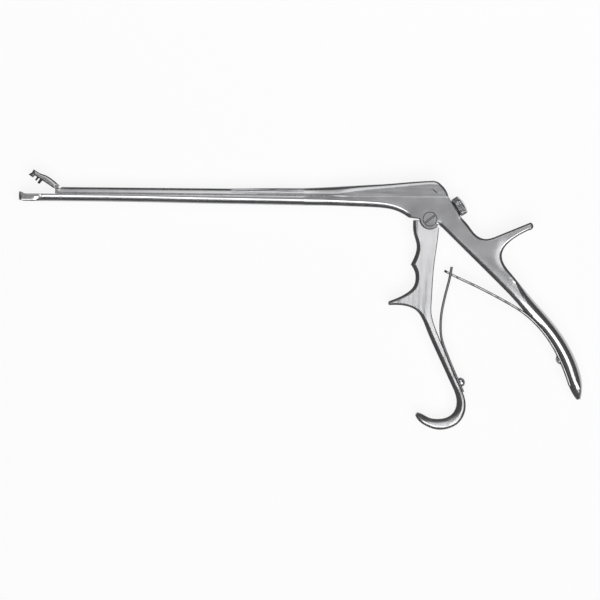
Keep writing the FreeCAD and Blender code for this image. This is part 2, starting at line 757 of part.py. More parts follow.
def pivot_screw():
    """The shouldered screw that the trigger turns on."""
    low_face = plate_thick - pivot_head_height
    head = slotted_head(pivot_head_radius, low_face, pivot_head_height - 0.05, 0, 0, 39.3)
    shank = rod(pivot_radius, mid, low_face, 0, 0)
    thread = rod(pivot_thread_radius, 0.15, mid, 0, 0)
    return merged(head, shank, thread)


def drive_screw():
    """The small screw in the slide that runs in the trigger's fork."""
    low_face = plate_thick - drive_head_height
    head = slotted_head(drive_head_radius, low_face, drive_head_height - 0.05, drive_x, drive_y, -30.0)
    shank = rod(drive_radius, 1.2, low_face, drive_x, drive_y)
    return merged(head, shank)


def thumb_screw():
    """The knurled screw in the frame's slanted back."""
    knob_radius = plate_thick / 2
    stem_length = (thumb_base - back_normal * (boss_radius - 0.75)).dot(back_normal) - thumb_tip_gap
    a = thumb_neck_length
    b = thumb_neck_length + thumb_knob_length
    neck = knob_radius - 1.0
    section = [(0, -stem_length), (thumb_stem_radius - 0.4, -stem_length),
               (thumb_stem_radius, -stem_length + 0.4), (thumb_stem_radius, 0.05), (neck, 0.05), (neck, a),
               (knob_radius - 0.3, a), (knob_radius, a + 0.3), (knob_radius, b - 0.5),
               (knob_radius - 0.5, b)]
    points = flat(section)
    rim = points[-1]
    top = V(0, b + thumb_crown, 0)
    ball = (rim.x ** 2 + thumb_crown ** 2) / (2 * thumb_crown)
    dome_middle = V(rim.x / 2, top.y - ball + math.sqrt(ball ** 2 - rim.x ** 2 / 4), 0)
    edges = [line(p, q) for p, q in zip(points, points[1:])]
    edges.append(arc(rim, dome_middle, top))
    edges.append(line(top, points[0]))
    solid = Part.Face(Part.Wire(edges)).revolve(V(0, 0, 0), V(0, 1, 0), 360)
    solid.rotate(V(0, 0, 0), ACROSS, math.degrees(back_face_lean) - 90.0)
    solid.translate(thumb_base + ACROSS * mid)
    return solid


def spring_screw_hole(points, way):
    """The screw's hole through a spring and into the grip behind it."""
    place, out = screw_place(points, way)
    depth = spring_screw_depth + spring_thick
    return Part.makeCylinder(spring_screw_radius + pin_gap, depth + 1.3, place + out * 2, out * -1)


def spot_face(points, way):
    """The flat that is cut on a bent spring for its screw's head."""
    place, out = screw_place(points, way)
    return Part.makeCylinder(spring_screw_head_radius + pin_gap, 4, place + out * (spring_thick / 2), out)


def spring_screw(points, way, head_height):
    """A domed, slotted screw that clamps the root of a leaf spring."""
    place, out = screw_place(points, way)
    dome = 0.65 * spring_screw_head_radius
    body = slotted_head(spring_screw_head_radius, 0, head_height, 0, 0, 90.0, crown=min(dome, head_height * 0.8))
    stem = Part.makeCylinder(spring_screw_radius, spring_screw_depth, V(0, 0, -spring_screw_depth), ACROSS)
    body = merged(body, stem)
    body.rotate(V(0, 0, 0), V(0, 1, 0), 90)
    body.rotate(V(0, 0, 0), ACROSS, math.degrees(math.atan2(out.y, out.x)))
    body.translate(place + out * (spring_thick / 2))
    return body


def front_spring():
    """The trigger's leaf spring, slotted near its tip."""
    half = spring_width / 2
    reach = spring_thick / 2
    body = band(front_spring_line, -reach, reach, mid - half, mid + half)
    x, y = spring_cross
    slot = box(x - 3, x + 3, y - 3.4, y + 2.6, mid - spring_slot_width / 2, mid + spring_slot_width / 2)
    body = body.cut(slot).cut(spot_face(front_spring_line, -1))
    return body.cut(spring_screw_hole(front_spring_line, -1))


def rear_spring():
    """The grip's leaf spring, which ends in a narrow tongue with a bead."""
    half = spring_width / 2
    reach = spring_thick / 2
    body = band(rear_spring_line, -reach, reach, mid - half, mid + half)
    tongue_half = spring_tongue_width / 2
    for low, high in ((-1.0, mid - tongue_half), (mid + tongue_half, plate_thick + 1)):
        body = body.cut(box(5.0, spring_cross[0] + 4.0, -38.0, -26.0, low, high))
    tip = rear_spring_line[-1]
    bead = Part.makeSphere(spring_bead_radius, V(tip[0], tip[1], mid))
    body = merged(body, bead).cut(spot_face(rear_spring_line, 1))
    return body.cut(spring_screw_hole(rear_spring_line, 1))


def save(name, shape):
    """Write one piece to its own file."""
    shape.exportStep("parts/" + name + ".step")


def main():
    save("handle_frame", handle_frame())
    save("lower_shaft", lower_shaft())
    save("slide_bar", slide_bar())
    save("guide_studs", guide_studs())
    save("upper_jaw", turned(upper_jaw_shut(), -jaw_open_angle, jaw_pivot_x, jaw_pivot_y))
    save("jaw_pivot_pin", cross_pin(jaw_pivot_x, jaw_pivot_y, half_shaft - 0.25))
    save("jaw_drive_pin", cross_pin(jaw_drive_x, jaw_drive_y, half_shaft - 0.45))
    save("trigger", trigger())
    save("pivot_screw", pivot_screw())
    save("drive_screw", drive_screw())
    save("thumb_screw", thumb_screw())
    save("front_spring", front_spring())
    save("front_spring_screw", spring_screw(front_spring_line, -1, front_screw_height))
    save("rear_spring", rear_spring())
    save("rear_spring_screw", spring_screw(rear_spring_line, 1, rear_screw_height))


main()
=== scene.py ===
import bpy
import bmesh
import math
from mathutils import Vector, Matrix
from mathutils.geometry import delaunay_2d_cdt
from mathutils.kdtree import KDTree


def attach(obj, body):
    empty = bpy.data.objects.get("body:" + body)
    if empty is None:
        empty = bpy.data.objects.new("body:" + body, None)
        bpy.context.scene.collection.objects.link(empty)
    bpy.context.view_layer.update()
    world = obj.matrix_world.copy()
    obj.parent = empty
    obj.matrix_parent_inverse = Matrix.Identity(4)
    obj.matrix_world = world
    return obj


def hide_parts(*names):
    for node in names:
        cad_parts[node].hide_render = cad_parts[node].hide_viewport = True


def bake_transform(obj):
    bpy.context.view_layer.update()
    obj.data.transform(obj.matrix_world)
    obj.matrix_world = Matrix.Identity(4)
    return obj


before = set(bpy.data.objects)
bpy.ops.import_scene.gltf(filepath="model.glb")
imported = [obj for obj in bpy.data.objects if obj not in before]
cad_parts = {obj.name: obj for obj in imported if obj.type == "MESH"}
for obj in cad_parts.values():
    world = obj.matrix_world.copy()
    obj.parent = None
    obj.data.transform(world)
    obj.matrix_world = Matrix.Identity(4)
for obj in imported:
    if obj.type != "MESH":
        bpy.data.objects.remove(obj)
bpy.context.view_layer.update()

# Sizes that several pieces share, in millimetres, with the large screw's axis as the origin

MM = 0.001
PLATE = 12.0
MID = PLATE / 2
SEAM = 13.2
SHAFT_HALF = 3.2
SHAFT_JOINT = -75.0
HEAD_FRONT = -46.0
HEAD_SLOT_HALF = 2.15
JAW_SLOT_HALF = 1.4
BOSS = 6.0
PIVOT_HEAD = 4.3
PIVOT_SHANK = 2.0
DRIVE_SCREW = (2.7, SEAM + 3.6)
DRIVE_HEAD = 2.0
SCREW_FACE = 11.95
SPRING_THICK = 1.4
FORGED_SHARP = 12.0


# Outlines

def spline_points(points, step):
    """Points along a natural cubic curve through a few places, about one step apart."""
    n = len(points)
    knots = [0.0]
    for (x0, y0), (x1, y1) in zip(points, points[1:]):
        knots.append(knots[-1] + math.hypot(x1 - x0, y1 - y0))
    if n == 2:
        count = max(1, int(round(knots[-1] / step)))
        (x0, y0), (x1, y1) = points
        return [(x0 + (x1 - x0) * i / count, y0 + (y1 - y0) * i / count) for i in range(count + 1)]
    axes = []
    for axis in (0, 1):
        a = [p[axis] for p in points]
        h = [knots[i + 1] - knots[i] for i in range(n - 1)]
        alpha = [0.0] * n
        for i in range(1, n - 1):
            alpha[i] = 3 * ((a[i + 1] - a[i]) / h[i] - (a[i] - a[i - 1]) / h[i - 1])
        low, mu, z = [1.0] * n, [0.0] * n, [0.0] * n
        for i in range(1, n - 1):
            low[i] = 2 * (knots[i + 1] - knots[i - 1]) - h[i - 1] * mu[i - 1]
            mu[i] = h[i] / low[i]
            z[i] = (alpha[i] - h[i - 1] * z[i - 1]) / low[i]
        c = [0.0] * n
        b = [0.0] * (n - 1)
        d = [0.0] * (n - 1)
        for i in range(n - 2, -1, -1):
            c[i] = z[i] - mu[i] * c[i + 1]
            b[i] = (a[i + 1] - a[i]) / h[i] - h[i] * (c[i + 1] + 2 * c[i]) / 3
            d[i] = (c[i + 1] - c[i]) / (3 * h[i])
        axes.append((a, b, c, d))
    out = []
    for i in range(n - 1):
        count = max(1, int(round((knots[i + 1] - knots[i]) / step)))
        for k in range(count):
            t = (knots[i + 1] - knots[i]) * k / count
            out.append(tuple(a[i] + b[i] * t + c[i] * t * t + d[i] * t ** 3 for a, b, c, d in axes))
    out.append(tuple(points[-1]))
    return out


def arc_points(a, through, b, step):
    """Points along the arc through three places."""
    ax, ay = a
    bx, by = through
    cx, cy = b
    aa, bb, cc = ax * ax + ay * ay, bx * bx + by * by, cx * cx + cy * cy
    d = 2 * (ax * (by - cy) + bx * (cy - ay) + cx * (ay - by))
    ux = (aa * (by - cy) + bb * (cy - ay) + cc * (ay - by)) / d
    uy = (aa * (cx - bx) + bb * (ax - cx) + cc * (bx - ax)) / d
    r = math.hypot(ax - ux, ay - uy)
    t0 = math.atan2(ay - uy, ax - ux)
    t1 = math.atan2(by - uy, bx - ux)
    t2 = math.atan2(cy - uy, cx - ux)
    turn = (t2 - t0) % math.tau
    if (t1 - t0) % math.tau > turn:
        turn -= math.tau
    count = max(2, int(round(abs(turn) * r / step)))
    return [(ux + r * math.cos(t0 + turn * k / count), uy + r * math.sin(t0 + turn * k / count))
            for k in range(count + 1)]


def polar(radius, degrees):
    """A place at an angle round the large screw."""
    t = math.radians(degrees)
    return radius * math.cos(t), radius * math.sin(t)


def beside(points, distance):
    """A line at a distance to the left of another."""
    out = []
    for i, (x, y) in enumerate(points):
        x0, y0 = points[max(i - 1, 0)]
        x1, y1 = points[min(i + 1, len(points) - 1)]
        dx, dy = x1 - x0, y1 - y0
        long = math.hypot(dx, dy)
        out.append((x - dy / long * distance, y + dx / long * distance))
    return out


def inside(pts, x, y):
    """Whether a place lies inside a closed outline."""
    hit = False
    j = len(pts) - 1
    for i in range(len(pts)):
        xi, yi = pts[i]
        xj, yj = pts[j]
        if (yi > y) != (yj > y) and x < (xj - xi) * (y - yi) / (yj - yi) + xi:
            hit = not hit
        j = i
    return hit


def from_edge(a, b, x, y):
    """Where on the edge from a to b its nearest place lies, from 0 to 1, and how far off that is."""
    dx, dy = b[0] - a[0], b[1] - a[1]
    t = min(max(((x - a[0]) * dx + (y - a[1]) * dy) / max(dx * dx + dy * dy, 1e-12), 0.0), 1.0)
    return t, math.hypot(x - a[0] - dx * t, y - a[1] - dy * t)


def smooth_step(a, b, x):
    """From 0 at a to 1 at b, level at both ends."""
    t = min(max((x - a) / (b - a), 0.0), 1.0)
    return t * t * (3 - 2 * t)


class Outline:
    """A closed outline. Each stretch says how its edge is worked: how wide the rounding is, how far the
    surface leans where the rounding starts and at the very edge, and from how far in it falls softly and
    to what lean. That is the same all along, or a function of the place, or changes to end."""

    def __init__(self, step=0.5):
        self.step = step
        self.points = []
        self.edges = []

    def add(self, points, edge, end=None):
        length = [0.0]
        for (x0, y0), (x1, y1) in zip(points, points[1:]):
            length.append(length[-1] + math.hypot(x1 - x0, y1 - y0))
        for p, s in zip(points[:-1], length):
            here = edge(*p) if callable(edge) else edge
            if end is not None:
                share = smooth_step(0.0, length[-1], s)
                here = tuple(v + (w - v) * share for v, w in zip(here, end))
            self.points.append(p)
            self.edges.append(here)

    def curve(self, points, edge, end=None):
        self.add(spline_points(points, self.step), edge, end)

    def line(self, a, b, edge, end=None):
        self.add(spline_points([a, b], self.step), edge, end)

    def arc(self, a, through, b, edge, end=None):
        self.add(arc_points(a, through, b, self.step), edge, end)

    def path(self, corners, edge):
        for a, b in zip(corners, corners[1:]):
            self.line(a, b, edge)


def worked(width, slope=0.0, steep=42.0, reach=0.0, lean=0.0):
    """How a stretch of an outline is worked, with its angles in radians."""
    return width, math.radians(slope), math.radians(steep), max(reach, width), math.radians(lean)


# An open end isn't worked, because another piece carries on from it
OPEN = (0.0,) * 5


def smoothed(rows, passes):
    """Values round a closed outline, evened out a little, but not across an open end."""
    n = len(rows)
    for _ in range(passes):
        after = []
        for i, here in enumerate(rows):
            near = [here if row == OPEN or here == OPEN else row for row in (rows[i - 1], rows[(i + 1) % n])]
            after.append(tuple((a + 2 * b + c) / 4 for a, b, c in zip(near[0], here, near[1])))
        rows = after
    return rows


def fall(d, width, slope, steep, reach, lean):
    """How far the surface lies below the plate's face, at a distance in from the outline."""
    if d >= reach:
        return 0.0
    if d >= width:
        return math.tan(lean) * (reach - d) ** 2 / (2 * max(reach - width, 1e-6))
    radius = width / (math.sin(steep) - math.sin(slope))
    here = math.asin(min(math.sin(steep) - d / radius, 1.0))
    return math.tan(lean) * (reach - width) / 2 + radius * (math.cos(slope) - math.cos(here))


# Plates with worked edges

FAR = 1e9
THINNEST = 0.15
RINGS = 10
RING_START = 0.04
RING_SPACING = 0.12
CREASE_START = 0.05
CREASE_HALVINGS = 9
CREASE_CLEAR = 0.3
CREASE_STRIDE = 1.2
# How far an edge may be outdone and still count as the one that decides: flat, and per millimetre in
CREASE_SLACK = (0.002, 0.004)
RING_SLACK = (0.003, 0.01)


def search_tree(places):
    """A tree that finds the nearest of some numbered places."""
    tree = KDTree(len(places))
    for i, (x, y) in places:
        tree.insert((x, y, 0), i)
    tree.balance()
    return tree


class Plate:
    """A plate's surface, as low everywhere as the edge in reach that takes it down furthest."""

    def __init__(self, outline, half, even):
        self.pts = outline.points
        self.works = smoothed(outline.edges, even)
        self.half = half
        self.n = len(self.pts)
        self.widest = max(work[3] for work in self.works)
        self.tree = search_tree([(i, p) for i, p in enumerate(self.pts) if self.works[i] != OPEN])
        area = sum(a[0] * b[1] - b[0] * a[1] for a, b in zip(self.pts[-1:] + self.pts, self.pts))
        way = 1.0 if area > 0 else -1.0
        self.normals = []
        for i in range(self.n):
            x0, y0 = self.pts[i - 1]
            x1, y1 = self.pts[(i + 1) % self.n]
            dx, dy = x1 - x0, y1 - y0
            long = math.hypot(dx, dy)
            self.normals.append((-dy / long * way, dx / long * way))

    def nearest(self, x, y):
        """Distance to the outline, and how the edge is worked there."""
        _, i, _ = self.tree.find((x, y, 0))
        best = (FAR, self.works[i])
        for j in (i - 1, i):
            if self.works[j] == OPEN:
                continue
            k = (j + 1) % self.n
            t, d = from_edge(self.pts[j], self.pts[k], x, y)
            if d < best[0]:
                other = self.works[j] if self.works[k] == OPEN else self.works[k]
                best = (d, tuple(a + (b - a) * t for a, b in zip(self.works[j], other)))
        return best

    def drop(self, x, y):
        """The deepest that any edge in reach takes the surface down here."""
        d, work = self.nearest(x, y)
        deep = fall(d, *work)
        best = None
        for _, i, far in self.tree.find_range((x, y, 0), self.widest):
            if far < self.works[i][3]:
                here = fall(far, *self.works[i])
                if here > deep:
                    deep, best = here, i
        if best is None:
            return deep
        for j in (best - 1, best):
            k = (j + 1) % self.n
            if self.works[j] != OPEN and self.works[k] != OPEN:
                _, far = from_edge(self.pts[j], self.pts[k], x, y)
                deep = max(deep, fall(far, *self.works[best]))
        return deep

    def height(self, x, y):
        return max(self.half(x, y) - self.drop(x, y), THINNEST)

    def inward(self, i, d):
        """The place at a distance in from a point of the outline."""
        return self.pts[i][0] + self.normals[i][0] * d, self.pts[i][1] + self.normals[i][1] * d

    def own(self, i, d, slack=CREASE_SLACK):
        """Whether an edge still decides the surface at a distance in from it."""
        return self.drop(*self.inward(i, d)) <= fall(d, *self.works[i]) + slack[0] + slack[1] * d

    def lay_creases(self, flat, edges):
        """Lays lines where another edge takes over, and gives how far in that is at each point."""
        limits = [FAR] * self.n
        before = None
        for i in range(self.n):
            width = self.works[i][0]
            if width == 0.0 or self.own(i, width) or not self.own(i, CREASE_START):
                before = None
                continue
            near, beyond = CREASE_START, width
            for _ in range(CREASE_HALVINGS):
                middle = (near + beyond) / 2
                if self.own(i, middle):
                    near = middle
                else:
                    beyond = middle
            limits[i] = near
            spot = Vector(self.inward(i, near))
            if near < CREASE_CLEAR or any((spot - v).length < CREASE_CLEAR for v in flat[self.n:]):
                before = None
                continue
            flat.append(spot)
            if before is not None and (flat[before] - spot).length < CREASE_STRIDE:
                edges.append((before, len(flat) - 1))
            before = len(flat) - 1
        return limits

    def lay_rings(self, flat, edges, limits):
        """Lays lines along the roundings, at even steps of the surface's lean."""
        for ring in range(1, RINGS + 1):
            before = None
            first = None
            for i in range(self.n):
                width, slope, steep = self.works[i][:3]
                if width == 0.0:
                    before = None
                    continue
                lean = steep + (slope - steep) * ring / RINGS
                d = width * (math.sin(steep) - math.sin(lean)) / (math.sin(steep) - math.sin(slope))
                x, y = self.inward(i, d)
                keep = RING_START < d < limits[i] - 0.1 and self.own(i, d, RING_SLACK)
                if keep and abs(self.nearest(x, y)[0] - d) > 0.03 * d + 0.004:
                    keep = inside(self.pts, x, y)
                if not keep:
                    before = None
                    continue
                spot = Vector((x, y))
                if before is not None and (flat[before] - spot).length < RING_SPACING:
                    continue
                flat.append(spot)
                if before is not None:
                    edges.append((before, len(flat) - 1))
                elif i == 0:
                    first = len(flat) - 1
                before = len(flat) - 1
            if first is not None and before is not None and before != first:
                edges.append((before, first))

    def fill(self, flat, grid):
        """Lays a staggered grid over the rest of the plate."""
        laid = search_tree(list(enumerate(flat)))
        xs = [x for x, _ in self.pts]
        ys = [y for _, y in self.pts]
        rows = int((max(ys) - min(ys)) / grid) + 2
        columns = int((max(xs) - min(xs)) / grid) + 2
        for row in range(rows):
            for column in range(columns):
                x = min(xs) + grid * (column + (0.5 if row % 2 else 0.0))
                y = min(ys) + grid * row
                if not inside(self.pts, x, y):
                    continue
                d, work = self.nearest(x, y)
                if d > work[0] + grid * 0.35 or d > grid * 0.35 and laid.find((x, y, 0))[2] > grid * 0.4:
                    flat.append(Vector((x, y)))


def forged(name, outline, half, grid=1.3, even=5):
    """A plate with worked edges, from its outline and half its thickness at each place."""
    plate = Plate(outline, half, even)
    flat = [Vector(p) for p in plate.pts]
    edges = [(i, (i + 1) % plate.n) for i in range(plate.n)]
    limits = plate.lay_creases(flat, edges)
    plate.lay_rings(flat, edges, limits)
    plate.fill(flat, grid)
    verts, _, faces, _, _, _ = delaunay_2d_cdt(flat, edges, [], 1, 1e-4)
    bm = bmesh.new()
    top, low = [], []
    for v in verts:
        h = plate.height(v.x, v.y)
        top.append(bm.verts.new((v.x * MM, v.y * MM, (MID + h) * MM)))
        low.append(bm.verts.new((v.x * MM, v.y * MM, (MID - h) * MM)))
    for f in faces:
        if inside(plate.pts, *((verts[f[0]] + verts[f[1]] + verts[f[2]]) / 3)):
            bm.faces.new([top[i] for i in f])
            bm.faces.new([low[i] for i in reversed(f)])
    upper = {v: i for i, v in enumerate(top)}
    for edge in [e for e in bm.edges if len(e.link_faces) == 1 and e.verts[0] in upper]:
        loop = edge.link_loops[0]
        a, b = upper[loop.vert], upper[loop.link_loop_next.vert]
        bm.faces.new((top[b], top[a], low[a], low[b]))
    bmesh.ops.delete(bm, geom=[v for v in bm.verts if not v.link_faces], context="VERTS")
    bmesh.ops.recalc_face_normals(bm, faces=bm.faces)
    return finished(name, bm, FORGED_SHARP)


# Solids and cutters

def shade(bm, sharp):
    """Makes a mesh smooth except over corners sharper than an angle in degrees."""
    limit = math.radians(sharp)
    for face in bm.faces:
        face.smooth = True
    for edge in bm.edges:
        edge.smooth = not (len(edge.link_faces) == 2 and edge.calc_face_angle(0.0) > limit)


def finished(name, bm, sharp=35.0):
    """A mesh object from a bmesh, which is used up."""
    shade(bm, sharp)
    mesh = bpy.data.meshes.new(name)
    bm.to_mesh(mesh)
    bm.free()
    obj = bpy.data.objects.new(name, mesh)
    bpy.context.scene.collection.objects.link(obj)
    return obj


def cut(obj, tools, sharp=FORGED_SHARP):
    """Cuts other closed meshes out of an object and keeps nothing of them."""
    for tool in tools:
        mod = obj.modifiers.new("cut", "BOOLEAN")
        mod.operation = "DIFFERENCE"
        mod.solver = "EXACT"
        mod.object = tool
    graph = bpy.context.evaluated_depsgraph_get()
    mesh = bpy.data.meshes.new_from_object(obj.evaluated_get(graph))
    obj.modifiers.clear()
    old = obj.data
    obj.data = mesh
    bpy.data.meshes.remove(old)
    for tool in tools:
        data = tool.data
        bpy.data.objects.remove(tool)
        bpy.data.meshes.remove(data)
    bm = bmesh.new()
    bm.from_mesh(mesh)
    shade(bm, sharp)
    bm.to_mesh(mesh)
    bm.free()
    return obj


def walls(bm, rings):
    """Joins rings of equally many points."""
    n = len(rings[0])
    for a, b in zip(rings, rings[1:]):
        for i in range(n):
            bm.faces.new((a[i], a[(i + 1) % n], b[(i + 1) % n], b[i]))


def block(x0, x1, y0, y1, half):
    """A plain box for cutting, in millimetres, which reaches equally far to both sides of the middle."""
    z0, z1 = MID - half, MID + half
    bm = bmesh.new()
    bmesh.ops.create_cube(bm, size=1.0)
    for v in bm.verts:
        v.co = Vector(((x0 + x1) / 2 + v.co.x * (x1 - x0), (y0 + y1) / 2 + v.co.y * (y1 - y0),
                       (z0 + z1) / 2 + v.co.z * (z1 - z0))) * MM
    return finished("tool", bm)


def prism(points, z0, z1):
    """A straight-sided block over an outline, for cutting, in millimetres."""
    bm = bmesh.new()
    low = [bm.verts.new((x * MM, y * MM, z0 * MM)) for x, y in points]
    top = [bm.verts.new((x * MM, y * MM, z1 * MM)) for x, y in points]
    bm.faces.new(low[::-1])
    bm.faces.new(top)
    walls(bm, [low, top])
    bmesh.ops.recalc_face_normals(bm, faces=bm.faces)
    return finished("tool", bm)


def bed(line, near, far, count):
    """What is cut away for a leaf spring to lie in."""
    dense = spline_points(line, 1.0)[:count]
    return prism(beside(dense, near) + beside(dense, far)[::-1], -1.0, PLATE + 1.0)


def lathe(name, profile, count=64, wave=None, sharp=35.0):
    """A turned solid about Z from (radius, height) pairs in millimetres, closed at both ends."""
    bm = bmesh.new()
    rings = []
    for r, h in profile:
        if r < 1e-6:
            rings.append([bm.verts.new((0, 0, h * MM))])
            continue
        ring = []
        for i in range(count):
            t = math.tau * i / count
            rr = r if wave is None else wave(r, h, t)
            ring.append(bm.verts.new((rr * math.cos(t) * MM, rr * math.sin(t) * MM, h * MM)))
        rings.append(ring)
    for a, b in zip(rings, rings[1:]):
        for i in range(count):
            j = (i + 1) % count
            if len(a) == 1 and len(b) > 1:
                bm.faces.new((a[0], b[i], b[j]))
            elif len(b) == 1 and len(a) > 1:
                bm.faces.new((a[i], a[j], b[0]))
            elif len(a) > 1:
                bm.faces.new((a[i], a[j], b[j], b[i]))
    bmesh.ops.recalc_face_normals(bm, faces=bm.faces)
    return finished(name, bm, sharp)


def cylinder(radius, z0, z1, x, y, count=72):
    """A plain round cutter across the tool."""
    obj = lathe("tool", [(0, z0), (radius, z0), (radius, z1), (0, z1)], count)
    for v in obj.data.vertices:
        v.co += Vector((x, y, 0)) * MM
    return obj


def groove(profile, length, x, y, z, turn):
    """A straight cutter with the cross-section (across, height) and a direction in degrees."""
    bm = bmesh.new()
    t = math.radians(turn)
    ends = []
    for along in (-length / 2, length / 2):
        ends.append([bm.verts.new(Vector((x + along * math.cos(t) - a * math.sin(t),
                                          y + along * math.sin(t) + a * math.cos(t), z + h)) * MM)
                     for a, h in profile])
    bm.faces.new(ends[0][::-1])
    bm.faces.new(ends[1])
    walls(bm, ends)
    bmesh.ops.recalc_face_normals(bm, faces=bm.faces)
    return finished("tool", bm)


def slot_shape(width, depth, broken):
    """A driver slot's cross-section, with its two edges broken."""
    half = width / 2
    over = 0.6
    return [(-half, -depth), (half, -depth), (half, -broken), (half + broken, 0.0), (half + broken, over),
            (-half - broken, over), (-half - broken, 0.0), (-half, -broken)]


def placed(obj, spot, axis):
    """Turns a mesh made about Z to an axis, and moves it to a spot in millimetres."""
    turn = Vector((0, 0, 1)).rotation_difference(Vector(axis)).to_matrix().to_4x4()
    obj.data.transform(Matrix.Translation(Vector(spot) * MM) @ turn)
    return obj


# Materials

MOTTLE = 0.05
GRAIN = 0.04
CLOUD_SCALE = 110.0
GRAIN_SCALE = 1500.0
GRAIN_DEPTH = 0.00002


def new_node(tree, kind, **values):
    """A new shader node, with values for its sockets, where _ stands for a space in a socket's name."""
    node = tree.nodes.new("ShaderNode" + kind)
    for name, value in values.items():
        node.inputs[name.replace("_", " ")].default_value = value
    return node


def steel(name, color, rough, spread=0.02, streaks=(90.0, 90.0, 90.0)):
    """Stainless steel: a cloudy polish, streaks of finer and coarser finish, and a faint grain."""
    mat = bpy.data.materials.new(name)
    mat.use_nodes = True
    tree = mat.node_tree
    link = tree.links.new
    bsdf = tree.nodes["Principled BSDF"]
    bsdf.inputs["Metallic"].default_value = 1.0
    coord = new_node(tree, "TexCoord")

    def noise(scale, detail, source):
        texture = new_node(tree, "TexNoise", Scale=scale, Detail=detail)
        link(source, texture.inputs["Vector"])
        return texture.outputs["Fac"]

    def ranged(source, low, high):
        change = new_node(tree, "MapRange", From_Min=0.3, From_Max=0.7, To_Min=low, To_Max=high)
        link(source, change.inputs["Value"])
        return change.outputs["Result"]

    mix = new_node(tree, "Mix")
    mix.data_type = "RGBA"
    mix.inputs["A"].default_value = (*[c * (1 - MOTTLE) for c in color], 1)
    mix.inputs["B"].default_value = (*[min(1, c * (1 + MOTTLE)) for c in color], 1)
    link(ranged(noise(CLOUD_SCALE, 4.0, coord.outputs["Object"]), 0.0, 1.0), mix.inputs["Factor"])
    link(mix.outputs["Result"], bsdf.inputs["Base Color"])
    stretch = new_node(tree, "Mapping", Scale=streaks)
    link(coord.outputs["Object"], stretch.inputs["Vector"])
    link(ranged(noise(1.0, 3.0, stretch.outputs["Vector"]), max(rough - spread, 0.02), rough + spread),
         bsdf.inputs["Roughness"])
    bump = new_node(tree, "Bump", Strength=GRAIN, Distance=GRAIN_DEPTH)
    link(noise(GRAIN_SCALE, 3.0, coord.outputs["Object"]), bump.inputs["Height"])
    link(bump.outputs["Normal"], bsdf.inputs["Normal"])
    return mat


satin = steel("steel_satin", (0.58, 0.58, 0.59), 0.21)
drawn = steel("steel_drawn", (0.54, 0.54, 0.55), 0.22, spread=0.04, streaks=(25.0, 700.0, 700.0))
bright = steel("steel_bright", (0.56, 0.56, 0.57), 0.38, spread=0.22, streaks=(300.0, 22.0, 300.0))
polished = steel("steel_polished", (0.72, 0.72, 0.73), 0.17)
# Dark steel: the front spring is drawn in darker steel, and the jaw's beak and the spring screws' steep
# faces take it as painted shade
dark_steel_and_shade = steel("spring_dark", (0.22, 0.22, 0.23), 0.3)
# Painted shade: near-black steel put into the screw slots, the knob's neck and knurling, the jaw's prongs
# and along the rear spring's edges
painted_shade = steel("painted_shade_black", (0.05, 0.05, 0.05), 0.5)


def dress(obj, mat, body, slot_name, *nodes):
    """Gives a piece its material and its body, and hides the CAD nodes that it stands for."""
    obj.data.materials.clear()
    obj.data.materials.append(mat)
    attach(obj, body)
    if nodes:
        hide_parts(*nodes)


def second_finish(obj, mat, where):
    """Gives some faces of a piece another material."""
    obj.data.materials.append(mat)
    for face in obj.data.polygons:
        face.material_index = int(where(face))


def distance(face, place):
    """How far a face lies from a place, seen from above, in millimetres."""
    return math.hypot(face.center.x / MM - place[0], face.center.y / MM - place[1])


# Frame

UNDER = [(HEAD_FRONT, 7.25), (-36.0, 7.0), (-27.0, 6.4), (-21.0, 5.2), (-16.5, 3.3), (-12.6, 0.8)]
NOSE = [(SHAFT_JOINT, 7.6), (-60.0, 7.6), (-50.0, 7.4), UNDER[0]]
BACK_LEAN = math.radians(32.3)
BACK_TOP = (11.1, SEAM)


def on_back(distance):
    """A place on the head's slanted back face, at a distance down from its top."""
    return BACK_TOP[0] + math.sin(BACK_LEAN) * distance, BACK_TOP[1] - math.cos(BACK_LEAN) * distance


BACK_LOW = on_back(14.2)
NAPE = [BACK_LOW, (22.5, -2.9), (28.2, -9.6), (33.2, -11.6), (38.8, -10.4)]
SPUR_END = (60.2, -1.5)
SPUR_TIP = (61.9, -3.5)
CROTCH = (49.6, -32.95)
SPUR_UNDER = [(59.4, -6.0), (54.4, -8.6), (49.0, -12.2), (44.9, -16.5), (43.3, -20.6), (43.7, -24.3),
              (45.6, -28.0), CROTCH]
GRIP_BACK = [CROTCH, (57.6, -42.3), (67.4, -53.3), (76.0, -63.3), (83.6, -74.3), (89.0, -85.2),
             (92.1, -96.6), (91.9, -104.0), (91.2, -107.2)]
GRIP_START = (42.0, -38.6)
GRIP_FRONT = [(89.1, -107.3), (87.0, -104.3), (84.3, -98.9), (80.7, -88.9), (76.2, -79.4), (69.3, -69.2),
              (60.5, -58.8), (51.1, -47.9), GRIP_START]
REAR_SPRING = [(85.0, -98.8), (81.1, -88.2), (78.9, -83.4), (76.6, -78.7), (67.5, -65.5), (61.3, -59.2),
               (55.2, -54.4), (49.1, -50.7), (37.0, -44.2), (24.9, -38.3), (15.9, -34.2), (9.2, -30.8)]


def half_width(x):
    """Half the width of the shaft and the head, which widen from one to the other."""
    return SHAFT_HALF + (MID - SHAFT_HALF) * smooth_step(SHAFT_JOINT, HEAD_FRONT, x)


def frame_half(x, y):
    """Half the frame's thickness: the nose narrows to the shaft, the grip thins to its butt."""
    if x < HEAD_FRONT:
        return half_width(x)
    down = (x - GRIP_START[0]) * 0.70 - (y - GRIP_START[1]) * 0.71
    return MID - 1.5 * smooth_step(0.0, 95.0, down)


def grip_back(x, y):
    """The grip's back is rounded wide in the hand, and less at the butt and at the crotch."""
    hand = smooth_step(-33.0, -48.0, y)
    butt = smooth_step(-90.0, -107.0, y)
    return worked(1.6 + 3.6 * hand - 2.6 * butt, 9.0 + 14.0 * butt, 46.0 + 12.0 * hand - 10.0 * butt)


